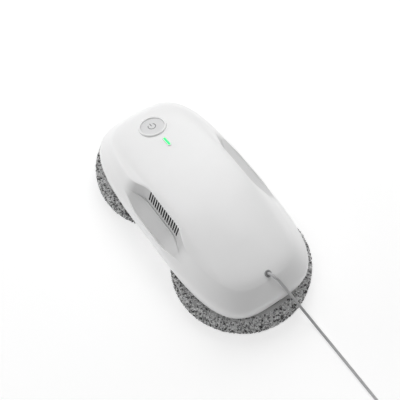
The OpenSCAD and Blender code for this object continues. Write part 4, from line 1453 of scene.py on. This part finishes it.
@dataclass
class Studio:
    """The floor, the soft lights and the camera of the photograph."""

    lens: float = 81.0
    azimuth: float = 55.16
    elevation: float = 59.77
    distance: float = 1.0057
    target: tuple[float, float, float] = (-0.02165, 0.01442, 0.0)
    sensor: float = 36.0
    clip: float = 0.01
    floor_half: float = 3.0
    floor_shades: tuple[float, float] = (0.51, 0.53)
    fibre_scale: float = 900.0
    fibre_detail: float = 2.0
    floor_rough: float = 0.95
    wall_grey: float = 0.9
    floor_glow: float = 0.6
    reach: float = 1.7
    box_size: float = 0.9
    softboxes: tuple = (("low_far", 90, 12, 4), ("low_near_left", 225, 12, 9),
        ("far_left", 135, 35, 6), ("left", 180, 35, 2), ("top_far_right", 45, 60, 4),
        ("top_far_left", 135, 60, 6), ("top_left", 180, 60, 4), ("top_near", 270, 60, 3),
        ("top_near_right", 315, 60, 3))

    def build_camera(self) -> None:
        """Places the camera at the photograph's viewing angle."""
        az, el = math.radians(self.azimuth), math.radians(self.elevation)
        back = Vector((math.sin(az) * math.cos(el), -math.cos(az) * math.cos(el), math.sin(el)))
        data = bpy.data.cameras.new("view")
        data.lens = self.lens
        data.sensor_width = self.sensor
        data.clip_start = self.clip
        camera = Shop.place("view", data)
        camera.location = Vector(self.target) + back * self.distance
        camera.rotation_mode = "QUATERNION"
        camera.rotation_quaternion = (-back).to_track_quat("-Z", "Y")
        bpy.context.scene.camera = camera

    def build_floor(self) -> None:
        """Lays a plain pale floor that glows a little, so that the shadows on it stay pale."""
        bm = bmesh.new()
        bmesh.ops.create_grid(bm, x_segments=1, y_segments=1, size=self.floor_half)
        mesh = Shop.mesh("floor", bm)
        made = bpy.data.materials.new("floor_paper")
        graph = Graph(made)
        place = graph.add("TexCoord").outputs["Object"]
        fibre = graph.add("TexNoise", {"Vector": place, "Scale": self.fibre_scale,
            "Detail": self.fibre_detail}).outputs["Fac"]
        colour = graph.ramp(fibre, MOTTLE_SPAN, [(shade,) * 3 for shade in self.floor_shades])
        shader = graph.add("BsdfPrincipled", {"Base Color": colour, "Roughness": self.floor_rough,
            "Specular IOR Level": 0.0, "Emission Color": (1, 1, 1, 1),
            "Emission Strength": self.floor_glow})
        graph.add("OutputMaterial", {"Surface": shader.outputs["BSDF"]})
        mesh.materials.append(made)
        Shop.place("floor", mesh)

    def build_light(self, name: str, place: Vector, size: float, power: float) -> None:
        """Hangs one square softbox that faces the object.

        Args:
            name: its name.
            place: its place in metres.
            size: its side in metres.
            power: its power in watts.
        """
        data = bpy.data.lights.new(name, "AREA")
        data.size = size
        data.energy = power
        light = Shop.place(name, data)
        light.location = place
        light.rotation_mode = "QUATERNION"
        light.rotation_quaternion = (-place).to_track_quat("-Z", "Y")

    def build(self) -> None:
        """Builds the camera, the floor, the lights and a pale backdrop that gives no light."""
        scene = bpy.context.scene
        scene.view_settings.view_transform = "Standard"
        self.build_camera()
        self.build_floor()
        world = bpy.data.worlds.new("studio")
        scene.world = world
        graph = Graph(world)
        seen = graph.add("LightPath").outputs["Is Camera Ray"]
        wall = graph.add("Background", {"Color": (*(self.wall_grey,) * 3, 1), "Strength": seen})
        graph.add("OutputWorld", {"Surface": wall.outputs["Background"]})
        for name, azimuth, elevation, power in self.softboxes:
            az, el = math.radians(azimuth), math.radians(elevation)
            way = Vector((math.cos(el) * math.cos(az), math.cos(el) * math.sin(az), math.sin(el)))
            self.build_light(name, way * self.reach, self.box_size, power)


def corners(box: tuple[Vector, Vector]) -> list[list[float]]:
    """Returns a box as plain lists of numbers."""
    return [[float(c) for c in corner] for corner in box]


def main() -> None:
    """Builds the whole scene in order."""
    logging.basicConfig(level=logging.INFO, format="%(name)s: %(message)s")
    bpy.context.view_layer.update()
    Studio().build()
    SupplyLead().build()
    skin = HousingSkin()
    shell = HousingShell(skin)
    shell.build()
    PowerButton(skin.seat(-shell.button_x, shell.button_reach)).build()
    StatusLight(skin.seat(-shell.light_x, shell.light_reach)).build()
    ExitGrommet(skin.seat(shell.exit_x, shell.exit_reach)).build()
    for seed, end in enumerate(("front", "rear"), FIRST_SEED):
        low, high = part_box(end + "_disc")
        PilePad(end + "_pad", end + "_disc_unit", (low.x + high.x) / 2 / MM, seed).build()
    Dresser().build()


if __name__ == "__main__":
    main()
